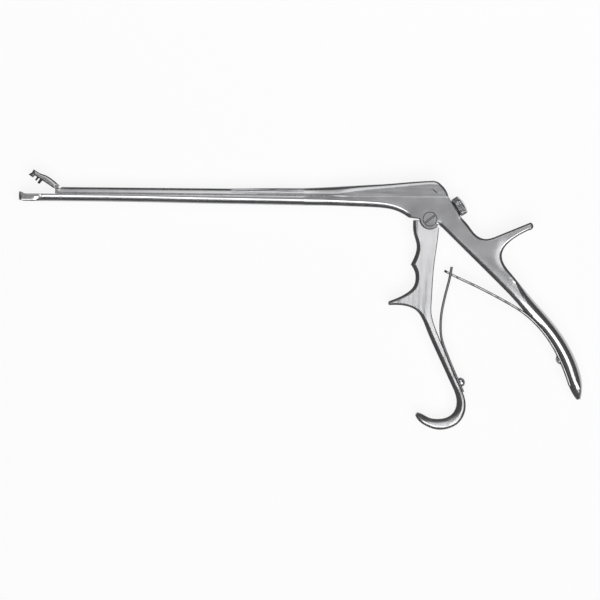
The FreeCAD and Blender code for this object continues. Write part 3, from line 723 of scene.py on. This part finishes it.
def grip_front(x, y):
    """The grip's front is a steep worked face, wider where the spring lies in it, over a soft fall."""
    bed_share = smooth_step(-55.0, -68.0, y)
    return worked(2.2 + 1.2 * bed_share, 27.0, 43.0, 9.0, 4.5 + 7.5 * smooth_step(-40.0, -70.0, y))


def under_spur(x, y):
    """The spur's underside falls softly to its edge where it runs into the grip."""
    glow = 1 - smooth_step(45.0, 52.0, x)
    return worked(1.2 + 0.4 * glow, 21.0 - 3.0 * glow, 44.0, 1.0 + 5.0 * glow, 3.2 * glow)


def frame_outline():
    o = Outline(0.5)
    head_edge = worked(3.0, 21.0, 46.0)
    crotch_edge = worked(2.2, 27.0, 43.0, 9.0, 4.5)
    boss_front, boss_back = polar(BOSS, 179.0), polar(BOSS, -28.0)
    o.line((SHAFT_JOINT, SEAM), NOSE[0], OPEN)
    o.curve(NOSE, worked(3.4, 18.0, 50.0), head_edge)
    o.curve(UNDER, head_edge, worked(2.5, 23.0, 44.0, 8.0, 3.5))
    o.line(UNDER[-1], boss_front, worked(1.3, 24.0, 44.0), worked(0.6, 26.0, 44.0))
    o.arc(boss_front, polar(BOSS, -104.0), boss_back, worked(0.5, 26.0, 44.0))
    o.line(boss_back, GRIP_START, worked(1.8, 27.0, 43.0, 3.0, 5.0), crotch_edge)
    o.curve(GRIP_FRONT[::-1], grip_front)
    o.line(GRIP_FRONT[0], GRIP_BACK[-1], worked(1.6, 26.0))
    o.curve(GRIP_BACK[::-1], grip_back)
    o.curve(SPUR_UNDER[::-1], under_spur)
    o.arc(SPUR_UNDER[0], SPUR_TIP, SPUR_END, worked(1.2, 24.0))
    o.line(SPUR_END, NAPE[-1], worked(1.3, 25.0))
    o.curve(NAPE[::-1], worked(1.4, 25.0))
    o.line(BACK_LOW, BACK_TOP, worked(0.5, 25.0))
    o.line(BACK_TOP, (SHAFT_JOINT, SEAM), worked(0.12))
    return o


handle = forged("frame_body", frame_outline(), frame_half)
cut(handle, [
    block(-7.1, 7.1, -10.0, SEAM + 1, HEAD_SLOT_HALF),
    cylinder(PIVOT_HEAD + 0.04, PLATE - 1.7, PLATE + 1, 0, 0, 96),
    cylinder(PIVOT_SHANK, -1, PLATE - 1.5, 0, 0),
    bed(REAR_SPRING, -SPRING_THICK / 2, 4.0, 66),
])
dress(handle, satin, "frame", "steel_satin", "handle_frame")


# Trigger

HUB = 6.25
TRIGGER_TOP = (-9.9, -0.7)
RIDGE = (-11.1, -27.2)
SCALLOP_1 = [TRIGGER_TOP, (-9.9, -6.0), (-8.9, -10.9), (-7.7, -15.6), (-8.4, -21.0), RIDGE]
SCALLOP_2 = [RIDGE, (-8.8, -31.3), (-8.2, -35.8), (-9.4, -40.4), (-13.2, -44.2), (-24.1, -49.4)]
FINGER_TIP = (-24.4, -50.5)
FINGER_UNDER = [(-23.9, -51.7), (-17.9, -51.6), (-12.0, -52.6), (-7.6, -54.8), (-4.6, -58.6), (-1.0, -66.8),
                (4.0, -78.0), (9.4, -89.4), (13.7, -98.6), (16.6, -105.6), (17.0, -111.6), (14.7, -116.4),
                (10.2, -119.1), (5.4, -119.7), (0.9, -119.0), (-3.4, -116.8), (-5.6, -115.9)]
HOOK_TIP = (-7.2, -116.5)
TRIGGER_BACK = [(-7.3, -118.2), (-6.0, -120.2), (-1.2, -123.8), (5.6, -126.0), (12.6, -125.2),
                (19.3, -120.9), (22.5, -112.7), (21.3, -105.0), (17.7, -97.6), (13.4, -87.9), (8.6, -76.3),
                (3.7, -64.6), (1.4, -55.6), (1.5, -49.6), (2.5, -31.6), (4.2, -17.2), (5.1, -10.0),
                (5.5, -5.2)]
FRONT_SPRING = [(21.0, -103.4), (20.0, -101.1), (18.55, -98.0), (14.7, -89.4), (10.2, -78.6), (7.8, -71.3),
                (7.15, -63.9), (7.6, -56.6), (8.9, -49.3), (10.6, -42.1), (12.4, -34.9), (13.5, -28.4)]


def trigger_half(x, y):
    """The face is a little hollow between the shoulder and the finger spur, and the bar is thinner."""
    dip = math.sin(math.pi * min(max(-y / 52.0, 0.0), 1.0)) ** 2
    return 4.9 - 0.26 * dip - 0.7 * smooth_step(-50.0, -80.0, y)


def finger_side(x, y):
    """The finger side is a steep worked face that widens down the bar and round the hook."""
    down = smooth_step(-52.0, -66.0, y)
    hook = smooth_step(-98.0, -116.0, y)
    return worked(1.5 + 0.9 * down + 1.1 * hook, 25.0, 43.0)


def heel_side(x, y):
    """The trigger's back is hardly rounded, the hook's outside more."""
    hook = smooth_step(-97.0, -120.0, y)
    return worked(0.7 + 1.4 * hook, 14.0 + 3.0 * hook, 44.0)


def trigger_outline():
    o = Outline(0.5)
    ridge_edge = worked(2.4, 27.0, 43.0)
    start = (-math.sqrt(HUB ** 2 - TRIGGER_TOP[1] ** 2), TRIGGER_TOP[1])
    o.arc(start, polar(HUB, -110), polar(HUB, -47), worked(0.2))
    o.line(polar(HUB, -47), TRIGGER_BACK[-1], worked(0.3))
    o.curve(TRIGGER_BACK[::-1], heel_side)
    o.arc(TRIGGER_BACK[0], HOOK_TIP, FINGER_UNDER[-1], worked(1.3, 14.0))
    o.curve(FINGER_UNDER[::-1], finger_side)
    o.arc(FINGER_UNDER[0], FINGER_TIP, SCALLOP_2[-1], worked(1.2, 25.0))
    o.curve(SCALLOP_2[::-1], worked(1.6, 27.0, 43.0), ridge_edge)
    o.curve(SCALLOP_1[::-1], ridge_edge, worked(1.7, 27.0, 43.0))
    o.line(TRIGGER_TOP, start, worked(0.7, 27.0))
    return o


def tongue_piece():
    """The thin hub and forked arm inside the head."""
    o = Outline(0.4)
    turn = Matrix.Rotation(-math.atan2(*DRIVE_SCREW), 2)

    def at(x, y):
        """A place on the arm, which leans from the large screw to the drive screw."""
        v = turn @ Vector((x, y))
        return v.x, v.y

    arm, top, fork = 2.9, 19.0, 1.37
    corner, through = 1.2, 0.35
    low = DRIVE_SCREW[1] - 0.35
    fine = worked(0.1)
    o.path([(-8.0, -3.0), (-5.7, 0.6), at(-arm - 0.4, 5.2), at(-arm, top - corner)], fine)
    o.arc(at(-arm, top - corner), at(-arm + through, top - through), at(-arm + corner, top), fine)
    o.path([at(-arm + corner, top), at(-fork, top), at(-fork, low)], fine)
    o.arc(at(-fork, low), at(0, low - fork), at(fork, low), fine)
    o.path([at(fork, low), at(fork, top), at(arm - corner, top)], fine)
    o.arc(at(arm - corner, top), at(arm - through, top - through), at(arm, top - corner), fine)
    o.path([at(arm, top - corner), at(arm + 0.4, 5.2), (4.9, 1.0), (4.4, -9.0), (-8.0, -9.0), (-8.0, -3.0)],
           fine)
    return forged("trigger_tongue", o, lambda x, y: 2.0)


lever = forged("trigger_body", trigger_outline(), trigger_half)
cut(lever, [bed(FRONT_SPRING, -4.0, SPRING_THICK / 2, 29)])
dress(lever, bright, "trigger", "steel_bright", "trigger")
second_finish(lever, satin, lambda face: face.normal.z < 0.93)
dress(tongue_piece(), satin, "trigger", "steel_satin")


# Slide

SLIDE_FRONT = -224.6
SLIDE_LIFT = 0.012
# Along the slide's top: the place, the height over the seam and how wide the rounding is
WEDGE = [(SLIDE_FRONT, 4.1, 2.9), (-120.0, 4.1, 3.1), (-75.0, 4.75, 3.3), (-69.0, 5.05, 3.5),
         (-63.0, 5.35, 3.9), (-57.0, 5.7, 4.3), (-51.0, 6.05, 3.9), (-46.0, 6.35, 3.4), (-38.0, 6.85, 2.8),
         (-28.0, 7.45, 2.4), (-6.0, 9.35, 2.0), (1.2, 9.75, 1.8)]


def wedge_side(x, y):
    for (x0, _, r0), (x1, _, r1) in zip(WEDGE, WEDGE[1:]):
        if x <= x1:
            return worked(r0 + (r1 - r0) * (x - x0) / (x1 - x0), 5.5, 48.0)
    return worked(WEDGE[-1][2], 5.5, 48.0)


def seam_side(x, y):
    """The slide's lower edge is broken: steeply along the shaft, gently along the head."""
    head = smooth_step(-62.0, -46.0, x)
    return worked(0.35 - 0.27 * head, 26.0 - 22.0 * head, 44.0 - 38.0 * head)


def slide_outline():
    o = Outline(0.5)
    low = SEAM + SLIDE_LIFT
    tops = [(x, SEAM + h) for x, h, _ in reversed(WEDGE)]
    shoulder = (6.7, SEAM + 7.35)
    nose = [(-220.6, SEAM + 4.1), (-222.3, SEAM + 3.2), (SLIDE_FRONT, SEAM + 3.05)]
    o.line((SLIDE_FRONT, low), (11.0, low), seam_side)
    o.arc((11.0, low), (9.9, SEAM + 3.3), shoulder, worked(1.0, 22.0), worked(1.4, 20.0))
    o.arc(shoulder, (4.3, SEAM + 9.15), (1.2, SEAM + 9.75), worked(1.4, 20.0), worked(1.8, 5.5, 48.0))
    o.curve(tops[:-2], wedge_side)
    o.line(tops[-2], nose[0], wedge_side)
    o.line(nose[0], nose[1], worked(3.0, 6.0, 46.0), worked(0.7, 20.0))
    o.line(nose[1], nose[2], worked(0.7, 20.0))
    o.line(nose[2], (SLIDE_FRONT, low), worked(0.15))
    return o


bar = forged("slide_body", slide_outline(), lambda x, y: half_width(x), grid=0.9)
cut(bar, [
    block(-226.0, -217.3, SEAM - 1, SEAM + 8, JAW_SLOT_HALF),
    cylinder(DRIVE_HEAD + 0.04, PLATE - 1.1, PLATE + 1, *DRIVE_SCREW),
    prism([(-2.6, SEAM - 1), (-2.6, SEAM + 6.5), (4.4, SEAM + 6.5), (6.5, SEAM + 5.2), (7.4, SEAM - 1)],
          MID - HEAD_SLOT_HALF, MID + HEAD_SLOT_HALF),
])
dress(bar, drawn, "slide", "steel_satin", "slide_bar")


# Lower shaft with the cup

TIP = -246.6
TIP_ROUND = 2.2


def shaft_side(x, y):
    """The shaft's lower edge is rounded wider behind the cup."""
    share = smooth_step(TIP + 7.0, TIP + 15.0, x)
    return worked(1.0 + 2.4 * share, 18.0 + 2.0 * share, 44.0 + 8.0 * share)


def shaft_outline():
    o = Outline(0.5)
    back = TIP + 3.6
    chin = [(TIP, SEAM - 3.5), (TIP + 0.1, SEAM - 3.8), (TIP + 3.2, SEAM - 4.4)]
    lip = [(back, SEAM), (TIP + 3.1, SEAM + 0.25), (TIP + 1.6, SEAM + 1.05), (TIP + 0.95, SEAM + 1.3),
           (TIP + 0.35, SEAM + 1.0), (TIP + 0.05, SEAM - 0.5), chin[0]]
    bottom = [chin[2], (-235.0, SEAM - 4.4), (-200.0, SEAM - 4.4), (-162.0, SEAM - 4.7),
              (-138.0, SEAM - 5.0), (-102.0, SEAM - 5.3), (SHAFT_JOINT, SEAM - 5.6)]
    o.line((SHAFT_JOINT, SEAM), lip[0], worked(0.2, 10.0, 30.0))
    o.curve(lip, worked(0.3, 25.0))
    o.line(chin[0], chin[1], worked(0.3, 25.0))
    o.line(chin[1], chin[2], worked(0.4, 10.0), worked(1.0, 18.0, 44.0))
    o.curve(bottom, shaft_side)
    o.line(bottom[-1], (SHAFT_JOINT, SEAM), OPEN)
    return o


def shaft_half(x, y):
    """The cup's front is round, seen from above."""
    front = max(TIP + TIP_ROUND - x, 0.0)
    return SHAFT_HALF - TIP_ROUND + math.sqrt(max(TIP_ROUND ** 2 - front ** 2, 0.04))


shaft = forged("lower_shaft_body", shaft_outline(), shaft_half)
hollow = block(TIP + 1.2, TIP + 12.8, SEAM - 3.45, SEAM + 3, 2.35)
bevel = hollow.modifiers.new("round", "BEVEL")
bevel.width = 1.1 * MM
bevel.segments = 6
cut(shaft, [
    hollow,
    block(-223.05, -217.7, SEAM - 3.7, SEAM + 1, JAW_SLOT_HALF),
])
dress(shaft, drawn, "frame", "steel_satin", "lower_shaft")


# Upper jaw, drawn shut and swung open about its pin

JAW_PIN = (-221.3, SEAM - 2.1)
JAW_SWING = math.radians(33.4)
JAW_BACK = -227.55
JAW_FRONT = TIP + 4.0
JAW_UNDER = SEAM + 0.1
JAW_PIN_HOLE = 0.79
PRONG_HALF = 2.1


def swung(points):
    """Places on the shut jaw, where they are when it stands open."""
    c, s = math.cos(-JAW_SWING), math.sin(-JAW_SWING)
    out = []
    for x, y in points:
        dx, dy = x - JAW_PIN[0], y - JAW_PIN[1]
        out.append((JAW_PIN[0] + dx * c - dy * s, JAW_PIN[1] + dx * s + dy * c))
    return out


def jaw_plate(name, points, work):
    """A beak or prong of the jaw, with straight sides that are worked alike."""
    o = Outline(0.3)
    corners = swung(points)
    o.path(corners + corners[:1], work)
    return forged(name, o, lambda x, y: PRONG_HALF, grid=0.7, even=1)


def jaw_arm():
    """The jaw's long curved plate."""
    o = Outline(0.3)
    top = swung([(JAW_BACK, SEAM + 3.6), (JAW_FRONT + 10.3, SEAM + 4.0), (JAW_FRONT + 6.6, SEAM + 3.8),
                 (JAW_FRONT + 3.0, SEAM + 2.9), (JAW_FRONT, SEAM + 2.8)])
    front, back = swung([(JAW_FRONT, JAW_UNDER), (JAW_BACK, JAW_UNDER)])
    o.curve(top, worked(1.7, 18.0, 46.0), worked(1.0, 22.0))
    o.line(top[-1], front, worked(0.5, 25.0))
    o.line(front, back, worked(0.9, 22.0))
    o.line(back, top[0], worked(0.7, 25.0))
    return forged("jaw_arm", o, lambda x, y: 3.0, grid=0.7, even=2)


def jaw_beak():
    """The hooked end that bites past the cup."""
    tip = TIP + 1.6
    return jaw_plate("jaw_beak", [(tip + 0.9, SEAM + 2.7), (tip + 1.0, SEAM + 0.6), (tip, SEAM - 1.5),
                                  (tip + 3.0, SEAM - 1.6), (tip + 3.5, JAW_UNDER + 0.1),
                                  (tip + 4.2, JAW_UNDER + 0.1), (tip + 4.2, SEAM + 2.8)],
                     worked(0.8, 28.0, 44.0))


def jaw_prong(number, x, width, depth):
    """One of the two teeth under the jaw."""
    return jaw_plate("jaw_prong_%d" % number,
                     [(x - width / 2, JAW_UNDER + 0.5), (x - width / 2, JAW_UNDER - depth),
                      (x + width / 4, JAW_UNDER - depth), (x + width / 2, JAW_UNDER + 0.5)],
                     worked(0.55, 28.0, 44.0))


def jaw_tang():
    """The jaw's lever between the shaft's walls, with the hole for its pin and the slot for the slide's."""
    o = Outline(0.3)
    px, py = JAW_PIN
    reach, lug = 1.4, 1.2
    shut_x, drive_y = px - 1.4, py + 4.667
    fine = worked(0.1)
    corners = swung([(JAW_BACK - 3.0, JAW_UNDER), (px - reach, JAW_UNDER), (px - reach, py),
                     (px, py - reach),
                     (px + reach, py), (shut_x + lug, drive_y),
                     (shut_x + lug * 0.707, drive_y + lug * 0.707),
                     (shut_x, drive_y + lug), (px - 3.4, SEAM + 1.75), (px - 4.6, SEAM + 2.1),
                     (px - 4.8, SEAM + 3.5), (JAW_BACK - 3.0, SEAM + 3.5)])
    o.path(corners[:3], fine)
    o.arc(*corners[2:5], fine)
    o.line(corners[4], corners[5], fine)
    o.arc(*corners[5:8], fine)
    o.path(corners[7:] + corners[:1], fine)
    tang = forged("jaw_tang", o, lambda x, y: 1.3, grid=0.8, even=1)
    return cut(tang, [cylinder(JAW_PIN_HOLE, 0, PLATE, px, py, 48), prism(drive_slot(), 0, PLATE)])


def drive_slot():
    """The outline of the slot for the slide's pin, along the jaw's line halfway through its swing."""
    lean = JAW_SWING / 2
    along = Vector((math.sin(lean), math.cos(lean)))
    side = Vector((along.y, -along.x))
    slot = []
    for rise, start in ((5.032, 0.0), (4.507, math.pi)):
        for k in range(13):
            t = start + math.pi * k / 12
            up = rise + JAW_PIN_HOLE * math.sin(t)
            p = Vector(JAW_PIN) + along * up + side * JAW_PIN_HOLE * math.cos(t)
            slot.append((p.x, p.y))
    return slot


beak = jaw_beak()
prongs = [jaw_prong(1, TIP + 7.2, 1.1, 2.2), jaw_prong(2, TIP + 9.6, 1.6, 2.8)]
dress(jaw_arm(), drawn, "jaw", "steel_bright", "upper_jaw")
# The beak is given dark steel as painted shade
dress(beak, dark_steel_and_shade, "jaw", "steel_bright")
dress(jaw_tang(), drawn, "jaw", "steel_bright")
# The prongs are painted black as shade
for prong in prongs:
    dress(prong, painted_shade, "jaw", "steel_bright")


# Flat screws

pivot = lathe("pivot_screw_body",
              [(0, 0.15), (1.8, 0.15), (PIVOT_SHANK, 0.35), (PIVOT_SHANK, MID), (2.5, MID), (2.5, 10.3),
               (PIVOT_HEAD, 10.3), (PIVOT_HEAD, 11.62), (PIVOT_HEAD - 0.33, SCREW_FACE), (0, SCREW_FACE)],
              96, sharp=20.0)
cut(pivot, [groove(slot_shape(0.5, 0.75, 0.33), 7.7, 0, 0, SCREW_FACE, 36.5)], 20.0)
dress(pivot, satin, "frame", "steel_satin", "pivot_screw")
# The slot's walls and the head's broken rim are painted black as shade
second_finish(pivot, painted_shade, lambda face: face.center.z > 11.0 * MM and face.normal.z < 0.95)

drive = lathe("drive_screw_body",
              [(0, 1.2), (1.1, 1.2), (1.3, 1.4), (1.3, 10.9), (DRIVE_HEAD, 10.9), (DRIVE_HEAD, 11.85),
               (DRIVE_HEAD - 0.1, SCREW_FACE), (0, SCREW_FACE)], 64, sharp=25.0)
drive.data.transform(Matrix.Translation(Vector((*DRIVE_SCREW, 0)) * MM))
cut(drive, [groove(slot_shape(0.45, 0.5, 0.12), 3.0, *DRIVE_SCREW, SCREW_FACE, -35.0)], 25.0)
dress(drive, satin, "slide", "steel_satin", "drive_screw")
# The slot's floor and walls are painted black as shade
second_finish(drive, painted_shade,
              lambda face: 11.3 * MM < face.center.z < 11.93 * MM and distance(face, DRIVE_SCREW) < 1.6)


# Knurled screw in the head's back

KNOB_AXIS = Vector((math.cos(BACK_LEAN), math.sin(BACK_LEAN), 0.0))
KNOB_BASE = Vector((*on_back(7.95), MID))
KNOB_RADIUS = 6.0
KNOB_NECK = 0.7
KNOB_END = 5.4
KNOB_CROWN = 1.1
KNOB_FLAT = 5.5
KNURL_LOW = KNOB_NECK + 0.5
KNURL_HIGH = KNOB_END - 0.7
KNURL_COUNT = 28
KNURL_DEPTH = 0.42
KNURL_STEPS = 26
GROOVE_FLOOR = 5.72


def knurled(r, h, t):
    """The radius of the knob's grip, with two sets of crossing slanted grooves."""
    if not KNURL_LOW < h < KNURL_HIGH:
        return r
    across = KNURL_COUNT * t / math.tau
    along = (h - KNOB_NECK) / 1.35
    ridges = [abs(2 * ((across + way * along) % 1.0) - 1) for way in (-1, 1)]
    return r - KNURL_DEPTH * (1 - min(ridges)) ** 1.2


def knob_profile():
    """The stem, the neck, the knurled grip and the domed end."""
    rows = [(0, -10.69), (1.6, -10.69), (2.0, -10.29), (2.0, 0.05), (5.0, 0.05), (5.0, KNOB_NECK),
            (5.6, KNOB_NECK + 0.05), (5.85, KNOB_NECK + 0.3), (5.97, KNURL_LOW)]
    for k in range(1, KNURL_STEPS):
        rows.append((KNOB_RADIUS, KNURL_LOW + (KNURL_HIGH - KNURL_LOW) * k / KNURL_STEPS))
    rows += [(5.97, KNURL_HIGH), (5.85, KNOB_END - 0.35), (5.7, KNOB_END - 0.15), (KNOB_FLAT, KNOB_END)]
    ball = (KNOB_FLAT ** 2 + KNOB_CROWN ** 2) / (2 * KNOB_CROWN)
    for r in (5.0, 4.3, 3.4, 2.4, 1.2):
        rows.append((r, KNOB_END + KNOB_CROWN - ball + math.sqrt(ball ** 2 - r ** 2)))
    rows.append((0, KNOB_END + KNOB_CROWN))
    return rows


def knob_painted_shade(face):
    """Whether a face lies in the neck or on the floor of a knurling groove, which are painted black as
    shade.
    """
    spot = face.center / MM - KNOB_BASE
    rise = spot.dot(KNOB_AXIS)
    floor_face = KNURL_LOW < rise < KNURL_HIGH and (spot - rise * KNOB_AXIS).length < GROOVE_FLOOR
    return rise < KNOB_NECK + 0.25 or floor_face


knob = lathe("thumb_screw_body", knob_profile(), KNURL_COUNT * 8, knurled, 40.0)
placed(knob, KNOB_BASE, KNOB_AXIS)
dress(knob, polished, "thumb_screw", "steel_polished", "thumb_screw")
# The neck and the knurling's groove floors are painted black as shade
second_finish(knob, painted_shade, knob_painted_shade)


# Domed screws over the springs' roots

DOME = 2.8


def spring_screw(name, line, way, height, crown):
    """A domed, slotted screw over a leaf spring's root."""
    (x0, y0), (x, y), (x1, y1) = line[1:4]
    long = math.hypot(x1 - x0, y1 - y0)
    out = Vector(((y0 - y1) / long * way, (x1 - x0) / long * way, 0))
    ball = (DOME ** 2 + crown ** 2) / (2 * crown)
    profile = [(0, -3.6), (1.05, -3.6), (1.25, -3.4), (1.25, 0), (2.7, 0), (DOME, 0.12),
               (DOME, height - crown)]
    for k in range(1, 8):
        r = DOME * math.cos(math.pi / 2 * k / 8)
        profile.append((r, height - ball + math.sqrt(ball ** 2 - r ** 2)))
    profile.append((0, height))
    screw = lathe(name, profile, 64, sharp=30.0)
    turn = math.degrees(math.atan2(out.x, -out.y))
    cut(screw, [groove(slot_shape(0.7, height * 0.45, 0.08), 8.0, 0, 0, height, turn)], 30.0)
    return placed(screw, Vector((x, y, MID)) + out * SPRING_THICK / 2, out)


for carrier, node, *shape in (("trigger", "front_spring_screw", FRONT_SPRING, -1, 3.0, 1.82),
                              ("frame", "rear_spring_screw", REAR_SPRING, 1, 1.7, 1.36)):
    screw = spring_screw(node + "_body", *shape)
    dress(screw, satin, carrier, "steel_polished", node)
    # Faces turned more than about 30° from facing up or down are painted dark as shade
    second_finish(screw, dark_steel_and_shade, lambda face: abs(face.normal.z) < 0.86)


# Leaf springs

def leaf(name, line, half):
    """A leaf spring: a strip with broken edges along a smooth line, half its width given at each place."""
    corner = 0.4
    centre = spline_points(line, 0.6)
    left = beside(centre, 1.0)
    quarter = [(SPRING_THICK / 2, -corner), (SPRING_THICK / 2 - corner, 0.0)]
    bm = bmesh.new()
    rings = []
    for (x, y), (lx, ly) in zip(centre, left):
        h = half(x, y)
        section = [(a, h + b) for a, b in quarter] + [(-a, h + b) for a, b in reversed(quarter)]
        section += [(-a, -h - b) for a, b in quarter] + [(a, -h - b) for a, b in reversed(quarter)]
        rings.append([bm.verts.new(Vector((x + (lx - x) * a, y + (ly - y) * a, MID + b)) * MM)
                      for a, b in section])
    walls(bm, rings)
    bm.faces.new(rings[0][::-1])
    bm.faces.new(rings[-1])
    bmesh.ops.recalc_face_normals(bm, faces=bm.faces)
    return finished(name, bm, 30.0)


def spring(strip, mat, node):
    """Gives a leaf spring its finish, hides the CAD node that it stands for and bakes its placing into its
    mesh.
    """
    strip.data.materials.clear()
    strip.data.materials.append(mat)
    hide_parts(node)
    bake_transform(strip)


front_leaf = leaf("front_spring_body", FRONT_SPRING, lambda x, y: 2.7)
cut(front_leaf, [block(9.8, 15.8, -36.1, -30.1, 1.1)], 30.0)
rear_leaf = leaf("rear_spring_body", REAR_SPRING, lambda x, y: 0.75 if x < 16.8 else 2.7)
spring(front_leaf, dark_steel_and_shade, "front_spring")
spring(rear_leaf, bright, "rear_spring")
# The root end and the steep broken edges are painted black as shade
second_finish(rear_leaf, painted_shade,
              lambda face: distance(face, REAR_SPRING[-1]) < 1.8 or abs(face.normal.z) < 0.9)


# Pins and studs keep their CAD form

for node in ("jaw_pivot_pin", "jaw_drive_pin", "guide_studs"):
    for material_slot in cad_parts[node].material_slots:
        material_slot.material = drawn


# Floor, light and camera

def floor_finish():
    """A matt pale floor, nearly white to the camera and in reflections, that keeps the tool's shadow."""
    mat = bpy.data.materials.new("floor_white")
    mat.use_nodes = True
    tree = mat.node_tree
    link = tree.links.new
    base = tree.nodes["Principled BSDF"]
    base.inputs["Base Color"].default_value = (0.86, 0.86, 0.86, 1)
    base.inputs["Roughness"].default_value = 0.9
    base.inputs["Specular IOR Level"].default_value = 0.0
    path = new_node(tree, "LightPath")
    glow = new_node(tree, "Emission", Color=(1, 1, 1, 1))
    blend = new_node(tree, "MixShader")
    seen = path.outputs["Is Camera Ray"]
    for ray in ("Is Glossy Ray", "Is Transmission Ray"):
        both = new_node(tree, "Math")
        both.operation = "MAXIMUM"
        link(seen, both.inputs[0])
        link(path.outputs[ray], both.inputs[1])
        seen = both.outputs[0]
    share = new_node(tree, "Math")
    share.operation = "MULTIPLY"
    share.inputs[1].default_value = 0.86
    link(seen, share.inputs[0])
    link(share.outputs[0], blend.inputs["Fac"])
    link(base.outputs["BSDF"], blend.inputs[1])
    link(glow.outputs["Emission"], blend.inputs[2])
    link(blend.outputs["Shader"], tree.nodes["Material Output"].inputs["Surface"])
    return mat


# How bright the studio is from straight below the tool, at 0, to straight above it, at 1
STUDIO = [(0.0, 0.07), (0.35, 0.085), (0.72, 0.12), (0.93, 0.24), (1.0, 0.28)]


def studio():
    """A dim grey room that is lighter overhead."""
    world = bpy.data.worlds.new("studio")
    bpy.context.scene.world = world
    world.use_nodes = True
    tree = world.node_tree
    way = new_node(tree, "TexCoord")
    split = new_node(tree, "SeparateXYZ")
    tree.links.new(way.outputs["Generated"], split.inputs["Vector"])
    sky = new_node(tree, "ValToRGB")
    ramp = sky.color_ramp
    ramp.interpolation = "EASE"
    while len(ramp.elements) < len(STUDIO):
        ramp.elements.new(0.5)
    for element, (spot, value) in zip(ramp.elements, STUDIO):
        element.position = spot
        element.color = (value, value, value * 1.01, 1)
    tree.links.new(split.outputs["Z"], sky.inputs["Fac"])
    tree.links.new(sky.outputs["Color"], tree.nodes["Background"].inputs["Color"])
    tree.nodes["Background"].inputs["Strength"].default_value = 1.0


def softbox(name, x0, x1, y0, y1, height, radiance):
    """A level lamp over the tool that shines down, by its corners in metres and how bright it looks."""
    data = bpy.data.lights.new(name, "AREA")
    data.shape = "RECTANGLE"
    data.size = x1 - x0
    data.size_y = y1 - y0
    data.energy = radiance * math.pi * data.size * data.size_y
    lamp = bpy.data.objects.new(name, data)
    lamp.location = ((x0 + x1) / 2, (y0 + y1) / 2, height)
    bpy.context.scene.collection.objects.link(lamp)


floor_mesh = bmesh.new()
bmesh.ops.create_grid(floor_mesh, x_segments=2, y_segments=2, size=3.0)
floor = finished("floor", floor_mesh)
floor.location.z = -0.0001
floor.data.materials.append(floor_finish())

studio()
softbox("key", -1.8, 3.0, -3.6, -0.6, 3.0, 3.0)
softbox("side", 0.5, 2.6, -0.6, 0.25, 3.0, 2.4)
softbox("fill", -0.20, 0.30, 0.10, 0.70, 0.5, 1.1)
softbox("fill_front", -0.50, -0.20, 0.10, 0.70, 0.5, 0.45)

# The photograph is 360 mm wide at the tool's middle plane
VIEW_WIDTH = 0.360
VIEW_CENTRE = (-77.30, -49.15)
VIEW_ROLL = math.radians(0.54)
LENS = 200
SENSOR = 36

cam_data = bpy.data.cameras.new("camera")
cam_data.lens = LENS
cam_data.sensor_width = SENSOR
cam_data.clip_end = 20
camera = bpy.data.objects.new("camera", cam_data)
bpy.context.scene.collection.objects.link(camera)
bpy.context.scene.camera = camera
camera.location = (VIEW_CENTRE[0] * MM, VIEW_CENTRE[1] * MM, VIEW_WIDTH / SENSOR * LENS + MID * MM)
camera.rotation_euler = (0, 0, VIEW_ROLL)

bpy.context.scene.view_settings.view_transform = "Standard"
